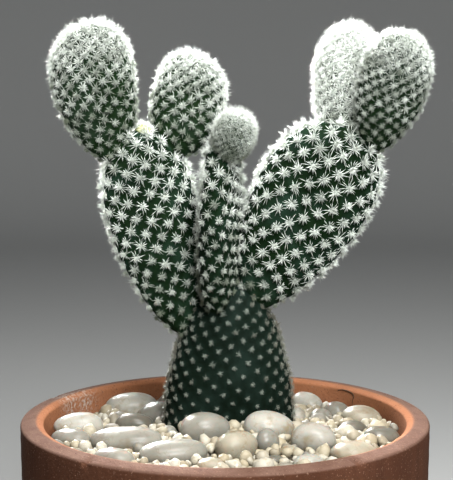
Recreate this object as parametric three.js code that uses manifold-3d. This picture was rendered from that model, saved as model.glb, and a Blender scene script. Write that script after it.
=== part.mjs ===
// A potted paddle cactus: flat pads with tufts of short bristles, growing in a plain
// round terracotta pot under a layer of rounded white pebbles.
// Millimetres, +Z up. The origin is on the surface the pot stands on, at the pot's axis.

import * as THREE from 'three';
import { mergeVertices } from 'three/addons/utils/BufferGeometryUtils.js';
import { ConvexHull } from 'three/addons/math/ConvexHull.js';
import Module from 'manifold-3d';

const wasm = await Module();
wasm.setup();

// ---------------------------------------------------------------- driving dimensions

const POT_HEIGHT = 112;
const RIM_RADIUS = 75;
const FOOT_RADIUS = 68;
const WALL = 8.5;
const FLOOR_THICK = 9;
const FOOT_RECESS = 2.2;
const FOOT_RING_INNER = 53;
const DRAIN_RADIUS = 8;
const RIDGE_INSET = 5.5;
const RIM_DROP = 1.1;
const POT_SIDES = 40;

const GAP = 0.3;
const SOIL_TOP = 96;
const BED_LEVEL = 102;
const BED_SLOPE = -0.04;
const HEAP = { x: 5, y: -8, height: 3.5, reach: 22 };
const GRIT_COUNT = 84;
const GRIT_RADIUS = 2.3;
const STONE_COUNT = 38;
const STONE_SUNK = 0.16;
const STONE_GAP = 0.7;
const STONE_BOXY = [2.1, 2.6];
const STONE_TAPER = 0.15;
const STONE_TILT = 0.08;
const STONE_DENT = 0.05;
const HIDDEN_STONE = { room: 4.6, width: 15 };
const HIDDEN_BED = { left: -24, right: 28, front: 26 };

const TUFT_HEIGHT = 2.2;
const TRUNK_TUFT_HEIGHT = 1.5;
const TUFT_RADIUS = 1.05;
const SECTION_POWER = 2.3;
const FULLNESS = 0.88;
const THICK_FULLNESS = 0.6;
const CLEAR_OF_PADS = 1.6;
const PROBE = 0.02;

// Each pad grows from its foot to its tip. The foot is sunk in the pad that carries it.
// peak above 1 puts the widest place nearer the tip, below 1 nearer the foot. turn is the
// angle in degrees that the flat face is turned about the pad's own axis away from the
// front, bend is how far the middle bows sideways, and tufts is how many areoles it has.
const PADS = [
  { name: 'base_pad', foot: [1.3, 13.1, 80], tip: [1.8, 9.5, 160], width: 48, thick: 27,
    peak: 0.6, turn: 0, bend: 0, tufts: 142, crowding: 0, green: 0x40604f },
  { name: 'left_pad', foot: [-13.8, 8.5, 139.8], tip: [-33, 6, 216.6], width: 33.4, thick: 13,
    peak: 1.4, turn: 14, bend: -1, tufts: 130, crowding: 0.3, green: 0x51714f },
  { name: 'middle_pad', foot: [-1.6, 13, 148], tip: [-1.2, -4, 213.7], width: 35, thick: 13.6,
    peak: 0.85, turn: 78, bend: 0, tufts: 112, crowding: 0.5, green: 0x557652 },
  { name: 'right_pad', foot: [9, 8.5, 149.5], tip: [46.8, 4, 216.6], width: 42, thick: 13,
    peak: 1.55, turn: 6, bend: -1, tufts: 132, crowding: 0.3, green: 0x54774a },
  { name: 'left_top_pad', foot: [-39.6, 3.2, 204.5], tip: [-49.3, 3, 254], width: 28.6,
    thick: 12, peak: 1.4, turn: 10, bend: -2, tufts: 124, crowding: 0.8, green: 0x6a8c55 },
  { name: 'left_back_pad', foot: [-20.3, 8.7, 206], tip: [-11.4, 18, 242.7], width: 25.8,
    thick: 12, peak: 1.2, turn: -6, bend: 2, tufts: 92, crowding: 0.8, green: 0x6a8c55 },
  { name: 'right_back_pad', foot: [43.3, 5, 212.5], tip: [46.6, 16, 253], width: 24,
    thick: 12, peak: 1.05, turn: 0, bend: 0.5, tufts: 96, crowding: 1, green: 0x7b9a60 },
  { name: 'right_front_pad', foot: [53.6, 4.4, 209.4], tip: [62.9, -7, 250.6], width: 24.6,
    thick: 12, peak: 1.3, turn: 10, bend: 1, tufts: 104, crowding: 0.8, green: 0x6f9250 },
  { name: 'middle_top_pad', foot: [1.4, -7, 206.3], tip: [4.4, -9, 222.4], width: 13.2,
    thick: 13, peak: 1.2, turn: 0, bend: 0, tufts: 56, crowding: 0.3, green: 0x8a9a6c },
  { name: 'left_bud', foot: [-30.6, 6, 211.5], tip: [-29.2, 6, 218.2], width: 6.4,
    thick: 5.6, peak: 1.1, turn: 0, bend: 0, tufts: 16, crowding: 0.3, green: 0xa9b87a },
];

// The larger pebbles that show, by where they lie: [x, y, long, wide, tall, turn, grey].
const SHOWN_STONES = [
  [-58, 8, 18.9, 15, 10.5, 12, 0], [-56, -12, 15.7, 12.4, 8, -25, 1],
  [-37, 41, 22, 16.5, 11.5, 8, 0], [-23, 56, 11, 10, 8, 40, 0],
  [-33, 16, 15.5, 12, 8.5, -6, 2], [-35, -21, 26, 15.5, 10.5, -4, 1],
  [-7, -14, 19.6, 15, 12.4, 4, 0], [-18, -38, 22.4, 14.5, 10, 12, 1],
  [-38, -43, 16, 11.5, 8.5, -28, 0], [4, -34, 16, 12.6, 11.5, 30, 0],
  [-5, -52, 11, 8.6, 7, 5, 0], [16, -11, 21, 14.5, 11.5, -4, 0],
  [15, -25, 10, 8.6, 9.5, 60, 2], [32, -22, 17, 13.5, 12.5, -38, 0],
  [46, -38, 18, 13.2, 9.5, 24, 0], [57, -10, 14, 10.8, 8.5, 10, 1],
  [55, 25, 16.6, 12.6, 9.5, -20, 0], [44, 35, 11.4, 9.6, 8.5, 50, 1],
  [36, 27, 9.6, 8, 7.5, 10, 1], [33, 51, 13.4, 11, 9.5, -35, 0],
  [48, 6, 11, 9, 7.5, 20, 2], [28, -48, 11, 8.6, 7.5, 10, 0],
  [-21, -2, 6.8, 6, 6, 20, 1], [22, -34, 7.2, 6.2, 6.4, 0, 0],
  [17, -42, 7.2, 6, 5.2, 30, 1], [-26, -30, 6.2, 5.4, 5.2, 0, 0],
];
const STONE_COLOURS = [0xe9e4da, 0xc6c3bb, 0x99968f];

// ---------------------------------------------------------------- small helpers

function makeRandom(seed) {
  let state = seed;
  return () => {
    state = (state + 0x6d2b79f5) | 0;
    let mixed = Math.imul(state ^ (state >>> 15), 1 | state);
    mixed = (mixed + Math.imul(mixed ^ (mixed >>> 7), 61 | mixed)) ^ mixed;
    return ((mixed ^ (mixed >>> 14)) >>> 0) / 4294967296;
  };
}

const signedPower = (value, power) => Math.sign(value) * Math.abs(value) ** power;

function toSolid(points, triangles) {
  const vertProperties = new Float32Array(points.flatMap((p) => [p.x, p.y, p.z]));
  const triVerts = new Uint32Array(triangles.flat());
  const mesh = new wasm.Mesh({ numProp: 3, vertProperties, triVerts });
  return new wasm.Manifold(mesh);
}

function geometryToSolid(geometry) {
  const bare = geometry.clone();
  bare.deleteAttribute('normal');
  bare.deleteAttribute('uv');
  const merged = mergeVertices(bare, 1e-4);
  const vertProperties = new Float32Array(merged.attributes.position.array);
  const triVerts = new Uint32Array(merged.index.array);
  return new wasm.Manifold(new wasm.Mesh({ numProp: 3, vertProperties, triVerts }));
}

// The largest body of a solid, so that a scrap cut loose by a neighbour is dropped.
function mainBody(solid) {
  const bodies = solid.decompose();
  return bodies.reduce((best, body) => (body.volume() > best.volume() ? body : best));
}

function solidToGeometry(solid) {
  const mesh = solid.getMesh();
  const geometry = new THREE.BufferGeometry();
  geometry.setAttribute('position', new THREE.BufferAttribute(mesh.vertProperties, 3));
  geometry.setIndex(new THREE.BufferAttribute(mesh.triVerts, 1));
  return geometry;
}

// ---------------------------------------------------------------- the pads' form

// The pad's own directions: axis from foot to tip, side across its flat face, and back
// away from that face, so that side, back and axis are right-handed.
function padFrame(pad) {
  const foot = new THREE.Vector3(...pad.foot);
  const axis = new THREE.Vector3(...pad.tip).sub(foot);
  const length = axis.length();
  axis.normalize();
  const back = new THREE.Vector3(0, 1, 0);
  back.addScaledVector(axis, -back.dot(axis)).normalize();
  const side = new THREE.Vector3().crossVectors(back, axis);
  const turn = THREE.MathUtils.degToRad(pad.turn);
  side.applyAxisAngle(axis, turn);
  back.applyAxisAngle(axis, turn);
  return { foot, axis, length, side, back };
}

// A point of the unit sphere goes to the pad's surface: its height sets the place along
// the axis, its distance from the sphere's axis the half width there, and its direction
// the place round a rounded-rectangle section. The thickness stays even for longer than
// the width does.
function onPad(pad, frame, point) {
  const along = ((1 + point.z) / 2) ** (1 / pad.peak);
  const reach = Math.hypot(point.x, point.y);
  const full = reach ** FULLNESS;
  const across = signedPower(point.x / (reach || 1), 2 / SECTION_POWER);
  const through = signedPower(point.y / (reach || 1), 2 / SECTION_POWER);
  const bow = pad.bend * 4 * along * (1 - along);
  return frame.foot.clone()
    .addScaledVector(frame.axis, frame.length * along)
    .addScaledVector(frame.side, (pad.width / 2) * full * across + bow)
    .addScaledVector(frame.back, (pad.thick / 2) * full ** THICK_FULLNESS * through);
}

function isNearPad(pad, frame, point, clearance) {
  const local = point.clone().sub(frame.foot);
  const grown = frame.length + 2 * clearance;
  const along = (local.dot(frame.axis) + clearance) / grown;
  if (along <= 0 || along >= 1) return false;
  const height = 2 * along ** pad.peak - 1;
  const full = Math.sqrt(1 - height * height) ** FULLNESS;
  const bow = pad.bend * 4 * along * (1 - along);
  const across = (local.dot(frame.side) - bow) / ((pad.width / 2 + clearance) * full);
  const through = local.dot(frame.back) / ((pad.thick / 2 + clearance) * full ** THICK_FULLNESS);
  return Math.abs(across) ** SECTION_POWER + Math.abs(through) ** SECTION_POWER < 1;
}

// The areoles lie on a golden-angle spiral that gives each one an equal share of the
// skin. crowding makes the shares smaller towards the tip, where the pad is youngest.
function areoleSites(pad, frame) {
  const steps = 240;
  const shares = [0];
  for (let i = 0; i < steps; i += 1) {
    const from = (Math.PI * i) / steps;
    const to = (Math.PI * (i + 1)) / steps;
    const place = (angle) => ((1 - Math.cos(angle)) / 2) ** (1 / pad.peak);
    const rise = frame.length * (place(to) - place(from));
    const spread = ((pad.width + pad.thick) / 4) * (Math.sin(to) - Math.sin(from));
    const girth = Math.sin((from + to) / 2) ** FULLNESS;
    const density = 1 + pad.crowding * place(to) ** 2;
    shares.push(shares[i] + Math.hypot(rise, spread) * girth * density);
  }
  const rounds = [0];
  const section = (turn) => [
    (pad.width / 2) * signedPower(Math.cos(turn), 2 / SECTION_POWER),
    (pad.thick / 2) * signedPower(Math.sin(turn), 2 / SECTION_POWER),
  ];
  for (let i = 0; i < steps; i += 1) {
    const here = section((2 * Math.PI * i) / steps);
    const next = section((2 * Math.PI * (i + 1)) / steps);
    rounds.push(rounds[i] + Math.hypot(next[0] - here[0], next[1] - here[1]));
  }
  const golden = (Math.sqrt(5) - 1) / 2;
  return Array.from({ length: pad.tufts }, (_, i) => {
    const polar = Math.PI * inverse(shares, (i + 0.5) / pad.tufts);
    const turn = 2 * Math.PI * inverse(rounds, (i * golden) % 1);
    const reach = Math.sin(polar);
    return new THREE.Vector3(reach * Math.cos(turn), reach * Math.sin(turn), -Math.cos(polar));
  });
}

// Where a rising table of sums first reaches a fraction of its last value, from 0 to 1.
function inverse(sums, fraction) {
  const target = sums[sums.length - 1] * fraction;
  let i = 1;
  while (sums[i] < target) i += 1;
  const part = (target - sums[i - 1]) / (sums[i] - sums[i - 1]);
  return (i - 1 + part) / (sums.length - 1);
}

// Two directions square to each other along the unit sphere at a site, and the steps
// on the pad that a small move along each of them makes, per unit of the move.
function skinSteps(pad, frame, site) {
  const first = new THREE.Vector3(0, 0, 1).cross(site);
  if (first.length() < 0.05) first.set(1, 0, 0);
  first.normalize();
  const second = new THREE.Vector3().crossVectors(site, first);
  return [first, second].map((way) => {
    const ahead = site.clone().addScaledVector(way, PROBE).normalize();
    const behind = site.clone().addScaledVector(way, -PROBE).normalize();
    const step = onPad(pad, frame, ahead).sub(onPad(pad, frame, behind));
    return { way, step: step.divideScalar(2 * PROBE) };
  });
}

// The three roots of a tuft's spike: places on the unit sphere that lie TUFT_RADIUS from
// the areole once they are carried to the pad.
function tuftRoots(site, steps) {
  return [0, 1, 2].map((k) => {
    const angle = (2 * Math.PI * k) / 3 + Math.PI / 2;
    return site.clone()
      .addScaledVector(steps[0].way, (TUFT_RADIUS * Math.cos(angle)) / steps[0].step.length())
      .addScaledVector(steps[1].way, (TUFT_RADIUS * Math.sin(angle)) / steps[1].step.length())
      .normalize();
  });
}

function hullTriangles(points) {
  const order = new Map(points.map((point, i) => [point, i]));
  const hull = new ConvexHull().setFromPoints(points);
  return hull.faces.map((face) => [
    order.get(face.edge.prev.head().point),
    order.get(face.edge.head().point),
    order.get(face.edge.next.head().point),
  ]);
}

// Swaps the shared edge of two triangles wherever the other diagonal makes them rounder,
// so that the skin's triangles stay even on the pad's narrow edges too.
function evenTriangles(points, triangles) {
  const apexAngle = (apex, a, b) => {
    const toA = points[a].clone().sub(points[apex]);
    const toB = points[b].clone().sub(points[apex]);
    return toA.angleTo(toB);
  };
  const normal = (a, b, c) => new THREE.Vector3()
    .crossVectors(points[b].clone().sub(points[a]), points[c].clone().sub(points[a]));
  let swaps = 1;
  for (let pass = 0; pass < 30 && swaps > 0; pass += 1) {
    swaps = 0;
    const edges = new Map();
    triangles.forEach(([a, b, c], t) => {
      edges.set(`${a},${b}`, [t, c]);
      edges.set(`${b},${c}`, [t, a]);
      edges.set(`${c},${a}`, [t, b]);
    });
    const moved = new Set();
    for (const [key, [t, c]] of edges) {
      const [a, b] = key.split(',').map(Number);
      const other = edges.get(`${b},${a}`);
      if (a > b || !other) continue;
      const [s, d] = other;
      const taken = edges.has(`${c},${d}`) || edges.has(`${d},${c}`);
      if (taken || moved.has(t) || moved.has(s)) continue;
      if (apexAngle(c, a, b) + apexAngle(d, a, b) <= Math.PI + 1e-3) continue;
      const before = normal(a, b, c).normalize().add(normal(b, a, d).normalize());
      if (normal(a, d, c).dot(before) <= 0 || normal(d, b, c).dot(before) <= 0) continue;
      triangles[t] = [a, d, c];
      triangles[s] = [d, b, c];
      moved.add(t);
      moved.add(s);
      swaps += 1;
    }
  }
  return triangles;
}

function vertexNormals(points, triangles) {
  const normals = points.map(() => new THREE.Vector3());
  for (const [a, b, c] of triangles) {
    const ab = points[b].clone().sub(points[a]);
    const face = ab.cross(points[c].clone().sub(points[a]));
    [a, b, c].forEach((i) => normals[i].add(face));
  }
  return normals.map((n) => n.normalize());
}

// A pad's skin with a spike raised at every areole that is free to stand out, and the
// same skin without spikes, grown by the gap that a neighbour keeps to it.
function growPad(pad, isBlocked) {
  const frame = padFrame(pad);
  const spots = [new THREE.Vector3(0, 0, -1), new THREE.Vector3(0, 0, 1)];
  const apexes = [];
  for (const site of areoleSites(pad, frame)) {
    const root = onPad(pad, frame, site);
    const steps = skinSteps(pad, frame, site);
    const outward = steps[0].step.clone().cross(steps[1].step).normalize();
    const height = pad === PADS[0] ? TRUNK_TUFT_HEIGHT : TUFT_HEIGHT;
    const top = root.clone().addScaledVector(outward, height);
    if (isBlocked(root, top, pad)) {
      spots.push(site);
    } else {
      apexes.push({ index: spots.length, top });
      spots.push(site, ...tuftRoots(site, steps));
    }
  }
  const skin = spots.map((spot) => onPad(pad, frame, spot));
  const triangles = evenTriangles(skin, hullTriangles(spots));
  const normals = vertexNormals(skin, triangles);
  const shell = skin.map((point, i) => point.clone().addScaledVector(normals[i], GAP));
  const raised = skin.map((point) => point.clone());
  apexes.forEach(({ index, top }) => raised[index].copy(top));
  return { solid: toSolid(raised, triangles), shell: toSolid(shell, triangles) };
}

// ---------------------------------------------------------------- pot, soil, stones

// The wall flares quickly from the foot and is nearly upright at the rim.
function outerRadius(z) {
  const flare = 1 - (1 - z / POT_HEIGHT) ** 2;
  return FOOT_RADIUS + (RIM_RADIUS - FOOT_RADIUS) * flare;
}

const innerRadius = (z) => outerRadius(z) - WALL;

function lathe(profile) {
  const points = profile.map(([radius, z]) => new THREE.Vector2(radius, z));
  const geometry = new THREE.LatheGeometry(points, POT_SIDES);
  geometry.rotateX(Math.PI / 2);
  return geometry;
}

function potGeometry() {
  const edge = POT_HEIGHT - RIM_DROP;
  const ridge = RIM_RADIUS - RIDGE_INSET;
  const profile = [
    [DRAIN_RADIUS, FOOT_RECESS],
    [FOOT_RING_INNER - 1.5, FOOT_RECESS],
    [FOOT_RING_INNER, 0],
    [FOOT_RADIUS - 1.2, 0],
    [outerRadius(1.2), 1.2],
    [outerRadius(30), 30],
    [outerRadius(62), 62],
    [outerRadius(90), 90],
    [RIM_RADIUS, edge],
    [ridge, POT_HEIGHT],
    [innerRadius(POT_HEIGHT) + 1, POT_HEIGHT - 0.7],
    [innerRadius(POT_HEIGHT), POT_HEIGHT - 3],
    [innerRadius(75), 75],
    [innerRadius(40), 40],
    [innerRadius(FLOOR_THICK + 4), FLOOR_THICK + 4],
    [innerRadius(FLOOR_THICK) - 4, FLOOR_THICK],
    [DRAIN_RADIUS, FLOOR_THICK],
    [DRAIN_RADIUS, FOOT_RECESS],
  ];
  return lathe(profile);
}

function bedHeight(x, y) {
  const away = Math.hypot(x - HEAP.x, y - HEAP.y) / HEAP.reach;
  return BED_LEVEL + BED_SLOPE * y + HEAP.height * Math.exp(-away * away);
}

function soilSolid() {
  const low = FLOOR_THICK + GAP;
  const profile = [
    [0, low],
    [innerRadius(FLOOR_THICK) - 4 - GAP, low],
    [innerRadius(FLOOR_THICK + 4) - GAP, FLOOR_THICK + 4.3],
    [innerRadius(40) - GAP, 40],
    [innerRadius(75) - GAP, 75],
    [innerRadius(SOIL_TOP) - 2 * GAP, SOIL_TOP],
    [0, SOIL_TOP],
  ];
  return geometryToSolid(lathe(profile));
}

// The layer of small gravel: flat where it lies on the soil, uneven on top.
function gravelSolid(random) {
  const rings = 4;
  const rim = innerRadius(BED_LEVEL) - 2 * GAP;
  const low = SOIL_TOP + GAP;
  const points = [new THREE.Vector3(0, 0, low)];
  const triangles = [];
  const addRing = (radius, height) => {
    const first = points.length;
    for (let i = 0; i < POT_SIDES; i += 1) {
      const angle = (2 * Math.PI * i) / POT_SIDES;
      const x = radius * Math.cos(angle);
      const y = radius * Math.sin(angle);
      points.push(new THREE.Vector3(x, y, height(x, y)));
    }
    return first;
  };
  const join = (lower, upper) => {
    for (let i = 0; i < POT_SIDES; i += 1) {
      const next = (i + 1) % POT_SIDES;
      triangles.push([lower + i, lower + next, upper + next]);
      triangles.push([lower + i, upper + next, upper + i]);
    }
  };
  const bottom = addRing(innerRadius(low) - 2 * GAP, () => low);
  for (let i = 0; i < POT_SIDES; i += 1) {
    triangles.push([0, bottom + ((i + 1) % POT_SIDES), bottom + i]);
  }
  let last = bottom;
  for (let ring = rings; ring >= 1; ring -= 1) {
    const rough = (x, y) => bedHeight(x, y) + (random() - 0.5) * 1.2;
    const current = addRing((rim * ring) / rings, rough);
    join(last, current);
    last = current;
  }
  const centre = points.length;
  points.push(new THREE.Vector3(0, 0, bedHeight(0, 0)));
  for (let i = 0; i < POT_SIDES; i += 1) {
    triangles.push([last + i, last + ((i + 1) % POT_SIDES), centre]);
  }
  return toSolid(points, triangles);
}

const trunk = PADS[0];
const trunkFrame = padFrame(trunk);

// How far a stone reaches from its middle in a direction, seen from above.
function stoneReach(stone, angle) {
  const turned = angle - THREE.MathUtils.degToRad(stone.turn);
  const across = Math.cos(turned) / (stone.long / 2);
  const through = Math.sin(turned) / (stone.wide / 2);
  return 1 / Math.hypot(across, through);
}

// Seen from above, the trunk is treated as an oval that every stone stays outside.
function trunkReach(angle) {
  const across = Math.cos(angle) / (trunk.width / 2 + 0.6);
  const through = Math.sin(angle) / (trunk.thick / 2 + 0.6);
  return 1 / Math.hypot(across, through);
}

// Pushes stones apart, off the trunk and off the wall until none of them touch.
function spreadStones(stones, rounds) {
  const wall = innerRadius(BED_LEVEL) * Math.cos(Math.PI / POT_SIDES) - 2 * STONE_GAP;
  for (let round = 0; round < rounds; round += 1) {
    for (const stone of stones) {
      for (const other of stones) {
        if (other === stone) continue;
        const dx = stone.x - other.x;
        const dy = stone.y - other.y;
        const apart = Math.hypot(dx, dy) || 0.01;
        const angle = Math.atan2(dy, dx);
        const need = stoneReach(stone, angle) + stoneReach(other, angle) + STONE_GAP;
        if (apart >= need) continue;
        const push = (0.5 * (need - apart)) / apart;
        stone.x += dx * push;
        stone.y += dy * push;
        other.x -= dx * push;
        other.y -= dy * push;
      }
      const fromTrunk = Math.atan2(stone.y - trunkFrame.foot.y, stone.x - trunkFrame.foot.x);
      const gap = Math.hypot(stone.x - trunkFrame.foot.x, stone.y - trunkFrame.foot.y);
      const clear = trunkReach(fromTrunk) + stoneReach(stone, fromTrunk) + STONE_GAP;
      if (gap < clear) {
        stone.x = trunkFrame.foot.x + clear * Math.cos(fromTrunk);
        stone.y = trunkFrame.foot.y + clear * Math.sin(fromTrunk);
      }
      const out = Math.atan2(stone.y, stone.x);
      const limit = wall - stoneReach(stone, out);
      if (Math.hypot(stone.x, stone.y) > limit) {
        stone.x = limit * Math.cos(out);
        stone.y = limit * Math.sin(out);
      }
    }
  }
}

// How far the nearest stone, the wall or the trunk is from a place on the bed.
function roomAt(x, y, stones) {
  const wall = innerRadius(BED_LEVEL) - 1 - Math.hypot(x, y);
  const toTrunk = Math.atan2(y - trunkFrame.foot.y, x - trunkFrame.foot.x);
  const offTrunk = Math.hypot(x - trunkFrame.foot.x, y - trunkFrame.foot.y) - trunkReach(toTrunk);
  const offStones = stones.map((stone) => {
    const angle = Math.atan2(y - stone.y, x - stone.x);
    return Math.hypot(x - stone.x, y - stone.y) - stoneReach(stone, angle);
  });
  return Math.min(wall, offTrunk, ...offStones);
}

// The pebbles that show, and more of them where the trunk hides the bed.
function layStones(random) {
  const stones = SHOWN_STONES.map(([x, y, long, wide, tall, turn, tone]) => (
    { x, y, long, wide, tall, turn, tone }));
  let tries = 0;
  while (stones.length < STONE_COUNT && tries < 4000) {
    tries += 1;
    const angle = 2 * Math.PI * random();
    const radius = innerRadius(BED_LEVEL) * Math.sqrt(random());
    const x = radius * Math.cos(angle);
    const y = radius * Math.sin(angle);
    const isHidden = x > HIDDEN_BED.left && x < HIDDEN_BED.right && y > HIDDEN_BED.front;
    const room = roomAt(x, y, stones);
    if (!isHidden || room < HIDDEN_STONE.room) continue;
    const wide = Math.min(2 * room + 1.5, HIDDEN_STONE.width);
    const long = wide * (1.05 + 0.3 * random());
    const tone = Math.floor(3 * random() ** 2);
    stones.push({ x, y, long, wide, tall: wide * 0.72, turn: 180 * random(), tone });
    spreadStones(stones, 6);
  }
  spreadStones(stones, 120);
  return stones;
}

// A water-worn stone: a sphere's corners pushed towards a soft box, thicker at one end
// and dented a little.
function stonePoints(stone, random, grow) {
  const ball = new THREE.IcosahedronGeometry(1, 1);
  ball.deleteAttribute('normal');
  ball.deleteAttribute('uv');
  const merged = mergeVertices(ball, 1e-4);
  const phases = [0, 1, 2].map(() => 6.28 * random());
  const boxy = THREE.MathUtils.lerp(...STONE_BOXY, random());
  const taper = STONE_TAPER * (2 * random() - 1);
  const [lean, roll] = [0, 1].map(() => STONE_TILT * (2 * random() - 1));
  const tilt = new THREE.Euler(lean, roll, 0);
  const turn = THREE.MathUtils.degToRad(stone.turn);
  const height = bedHeight(stone.x, stone.y) + (0.5 - STONE_SUNK / 2) * stone.tall;
  const middle = new THREE.Vector3(stone.x, stone.y, height);
  const half = new THREE.Vector3(stone.long / 2, stone.wide / 2, stone.tall / 2);
  const up = new THREE.Vector3(0, 0, 1);
  const points = [];
  for (let i = 0; i < merged.attributes.position.count; i += 1) {
    const point = new THREE.Vector3().fromBufferAttribute(merged.attributes.position, i);
    const [x, y, z] = point.toArray();
    const soft = [x, y, z].reduce((sum, value) => sum + Math.abs(value) ** boxy, 0) ** (-1 / boxy);
    const dents = Math.sin(3 * x + phases[0]) + Math.sin(3 * y + phases[1])
      + 0.6 * Math.sin(4 * z + phases[2]);
    point.multiplyScalar(soft * (1 - STONE_DENT + STONE_DENT * dents)).multiply(half);
    point.y *= 1 + taper * x;
    point.z *= 1 + taper * x;
    point.setLength(point.length() + grow);
    points.push(point.applyEuler(tilt).applyAxisAngle(up, turn).add(middle));
  }
  const index = Array.from(merged.index.array);
  const triangles = [];
  for (let i = 0; i < index.length; i += 3) triangles.push(index.slice(i, i + 3));
  return { points, triangles };
}

// Small gravel that lies in the gaps between the pebbles, fused to the layer it tops.
function addGrit(bed, stones, random) {
  const placed = [];
  let tries = 0;
  while (placed.length < GRIT_COUNT && tries < 20000) {
    tries += 1;
    const angle = 2 * Math.PI * random();
    const radius = (innerRadius(BED_LEVEL) - GRIT_RADIUS - 1) * Math.sqrt(random());
    const x = radius * Math.cos(angle);
    const y = radius * Math.sin(angle);
    const apart = placed.every((spot) => Math.hypot(spot.x - x, spot.y - y) > 1.7 * GRIT_RADIUS);
    if (apart && roomAt(x, y, stones) > 0.4 * GRIT_RADIUS) placed.push({ x, y });
  }
  const grains = placed.map(({ x, y }) => {
    const grain = new THREE.OctahedronGeometry(GRIT_RADIUS * (0.9 + 0.5 * random()));
    grain.rotateZ(3 * random());
    grain.rotateX(3 * random());
    grain.translate(x, y, bedHeight(x, y) + 0.35 * GRIT_RADIUS);
    return geometryToSolid(grain);
  });
  return grains.reduce((whole, grain) => whole.add(grain), bed);
}

// ---------------------------------------------------------------- the plant in its pot

function finish(name, geometry, color, roughness) {
  const material = new THREE.MeshStandardMaterial({ color, roughness, metalness: 0, flatShading: true });
  const mesh = new THREE.Mesh(geometry, material);
  mesh.name = name;
  return mesh;
}

const plant = new THREE.Group();
plant.name = 'potted_paddle_cactus';
plant.add(finish('pot', potGeometry(), 0xb9663f, 0.85));

const random = makeRandom(20);
const stones = layStones(random);
const stoneShapes = stones.map((stone) => {
  const seed = Math.round(1000 * Math.abs(stone.x) + 10 * Math.abs(stone.y));
  const solid = stonePoints(stone, makeRandom(seed), 0);
  const socket = stonePoints(stone, makeRandom(seed), GAP);
  return {
    points: solid.points,
    solid: toSolid(solid.points, solid.triangles),
    socket: toSolid(socket.points, socket.triangles),
  };
});

// A tuft stays flat where its spike would reach the gravel, a pebble or another pad.
const frames = PADS.map(padFrame);
function isBlocked(root, top, pad) {
  const middle = root.clone().lerp(top, 0.5);
  if (Math.min(root.z, top.z) < bedHeight(root.x, root.y) + 3) return true;
  const hitsStone = stones.some((stone) => {
    const angle = Math.atan2(top.y - stone.y, top.x - stone.x);
    const away = Math.hypot(top.x - stone.x, top.y - stone.y);
    const crown = bedHeight(stone.x, stone.y) + stone.tall;
    return away < stoneReach(stone, angle) + TUFT_RADIUS && root.z < crown;
  });
  const hitsPad = PADS.some((other, i) => other !== pad && (
    isNearPad(other, frames[i], top, CLEAR_OF_PADS)
    || isNearPad(other, frames[i], middle, CLEAR_OF_PADS)
    || isNearPad(other, frames[i], root, CLEAR_OF_PADS)));
  return hitsStone || hitsPad;
}

const shells = [];
for (const pad of PADS) {
  const grown = growPad(pad, isBlocked);
  const cut = shells.reduce((rest, shell) => rest.subtract(shell), grown.solid);
  shells.push(grown.shell);
  plant.add(finish(pad.name, solidToGeometry(mainBody(cut)), pad.green, 0.7));
}

const soil = soilSolid().subtract(shells[0]);
plant.add(finish('soil', solidToGeometry(mainBody(soil)), 0x3a2c22, 1));

const bed = addGrit(gravelSolid(random), stones, random);
const socketed = stoneShapes.reduce((rest, stone) => rest.subtract(stone.socket), bed);
const gravel = mainBody(socketed.subtract(shells[0]));
plant.add(finish('gravel_bed', solidToGeometry(gravel), 0xd9cdb4, 0.9));

stoneShapes.forEach((stone, i) => {
  const name = `pebble_${String(i + 1).padStart(2, '0')}`;
  plant.add(finish(name, solidToGeometry(stone.solid), STONE_COLOURS[stones[i].tone], 0.3));
});

export default plant;
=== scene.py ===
# %% [markdown]
# # A potted paddle cactus
#
# This lesson dresses the solid model of a small cactus in a terracotta pot. The solids
# say where everything is, and the cells below grow the finer surfaces around them: skin
# with tufts of white bristles, polished pebbles, loose gravel and fired clay. Every shape
# is worked out with numpy as a whole array of points, in millimetres, and is turned into
# metres only when its mesh is made.

# %% Load the solid model
import math

import bpy
import numpy as np
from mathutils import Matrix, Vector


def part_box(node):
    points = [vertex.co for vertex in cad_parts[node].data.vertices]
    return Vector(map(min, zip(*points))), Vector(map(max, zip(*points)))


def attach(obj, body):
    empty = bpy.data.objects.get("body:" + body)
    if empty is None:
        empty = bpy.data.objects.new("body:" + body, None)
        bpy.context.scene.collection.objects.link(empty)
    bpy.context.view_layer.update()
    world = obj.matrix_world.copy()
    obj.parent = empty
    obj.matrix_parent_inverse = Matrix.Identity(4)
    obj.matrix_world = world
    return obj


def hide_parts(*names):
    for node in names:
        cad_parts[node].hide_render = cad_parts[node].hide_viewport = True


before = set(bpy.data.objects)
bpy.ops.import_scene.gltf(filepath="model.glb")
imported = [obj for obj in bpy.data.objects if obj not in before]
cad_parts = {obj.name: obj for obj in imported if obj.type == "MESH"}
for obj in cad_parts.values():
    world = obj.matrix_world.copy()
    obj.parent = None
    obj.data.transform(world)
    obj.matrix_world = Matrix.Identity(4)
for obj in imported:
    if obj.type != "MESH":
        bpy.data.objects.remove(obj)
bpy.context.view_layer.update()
MM = 0.001

# %% [markdown]
# ## The camera
#
# The plant is seen from a little above the rim, from half a metre away with a long lens,
# so that the pot's mouth shows as a flat oval. The lens is worked out for the height of
# the picture, which stays the same whatever its width.

# %% Camera
CAMERA_PLACE = (0.553, -543.25, 247.95)
CAMERA_TILT_DOWN = 7.434
LENS = 113.1
FILM_HEIGHT = 36.0
PLANT_MIDDLE = (0, 0, 180)

camera_data = bpy.data.cameras.new("camera")
camera_data.sensor_fit = "VERTICAL"
camera_data.sensor_height = FILM_HEIGHT
camera_data.lens = LENS
camera = bpy.data.objects.new("camera", camera_data)
camera.location = [number * MM for number in CAMERA_PLACE]
camera.rotation_euler = (math.radians(90 - CAMERA_TILT_DOWN), 0, 0)
bpy.context.scene.collection.objects.link(camera)
bpy.context.scene.camera = camera
print("camera stands", round(math.dist(PLANT_MIDDLE, CAMERA_PLACE)), "mm from the plant")

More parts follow.
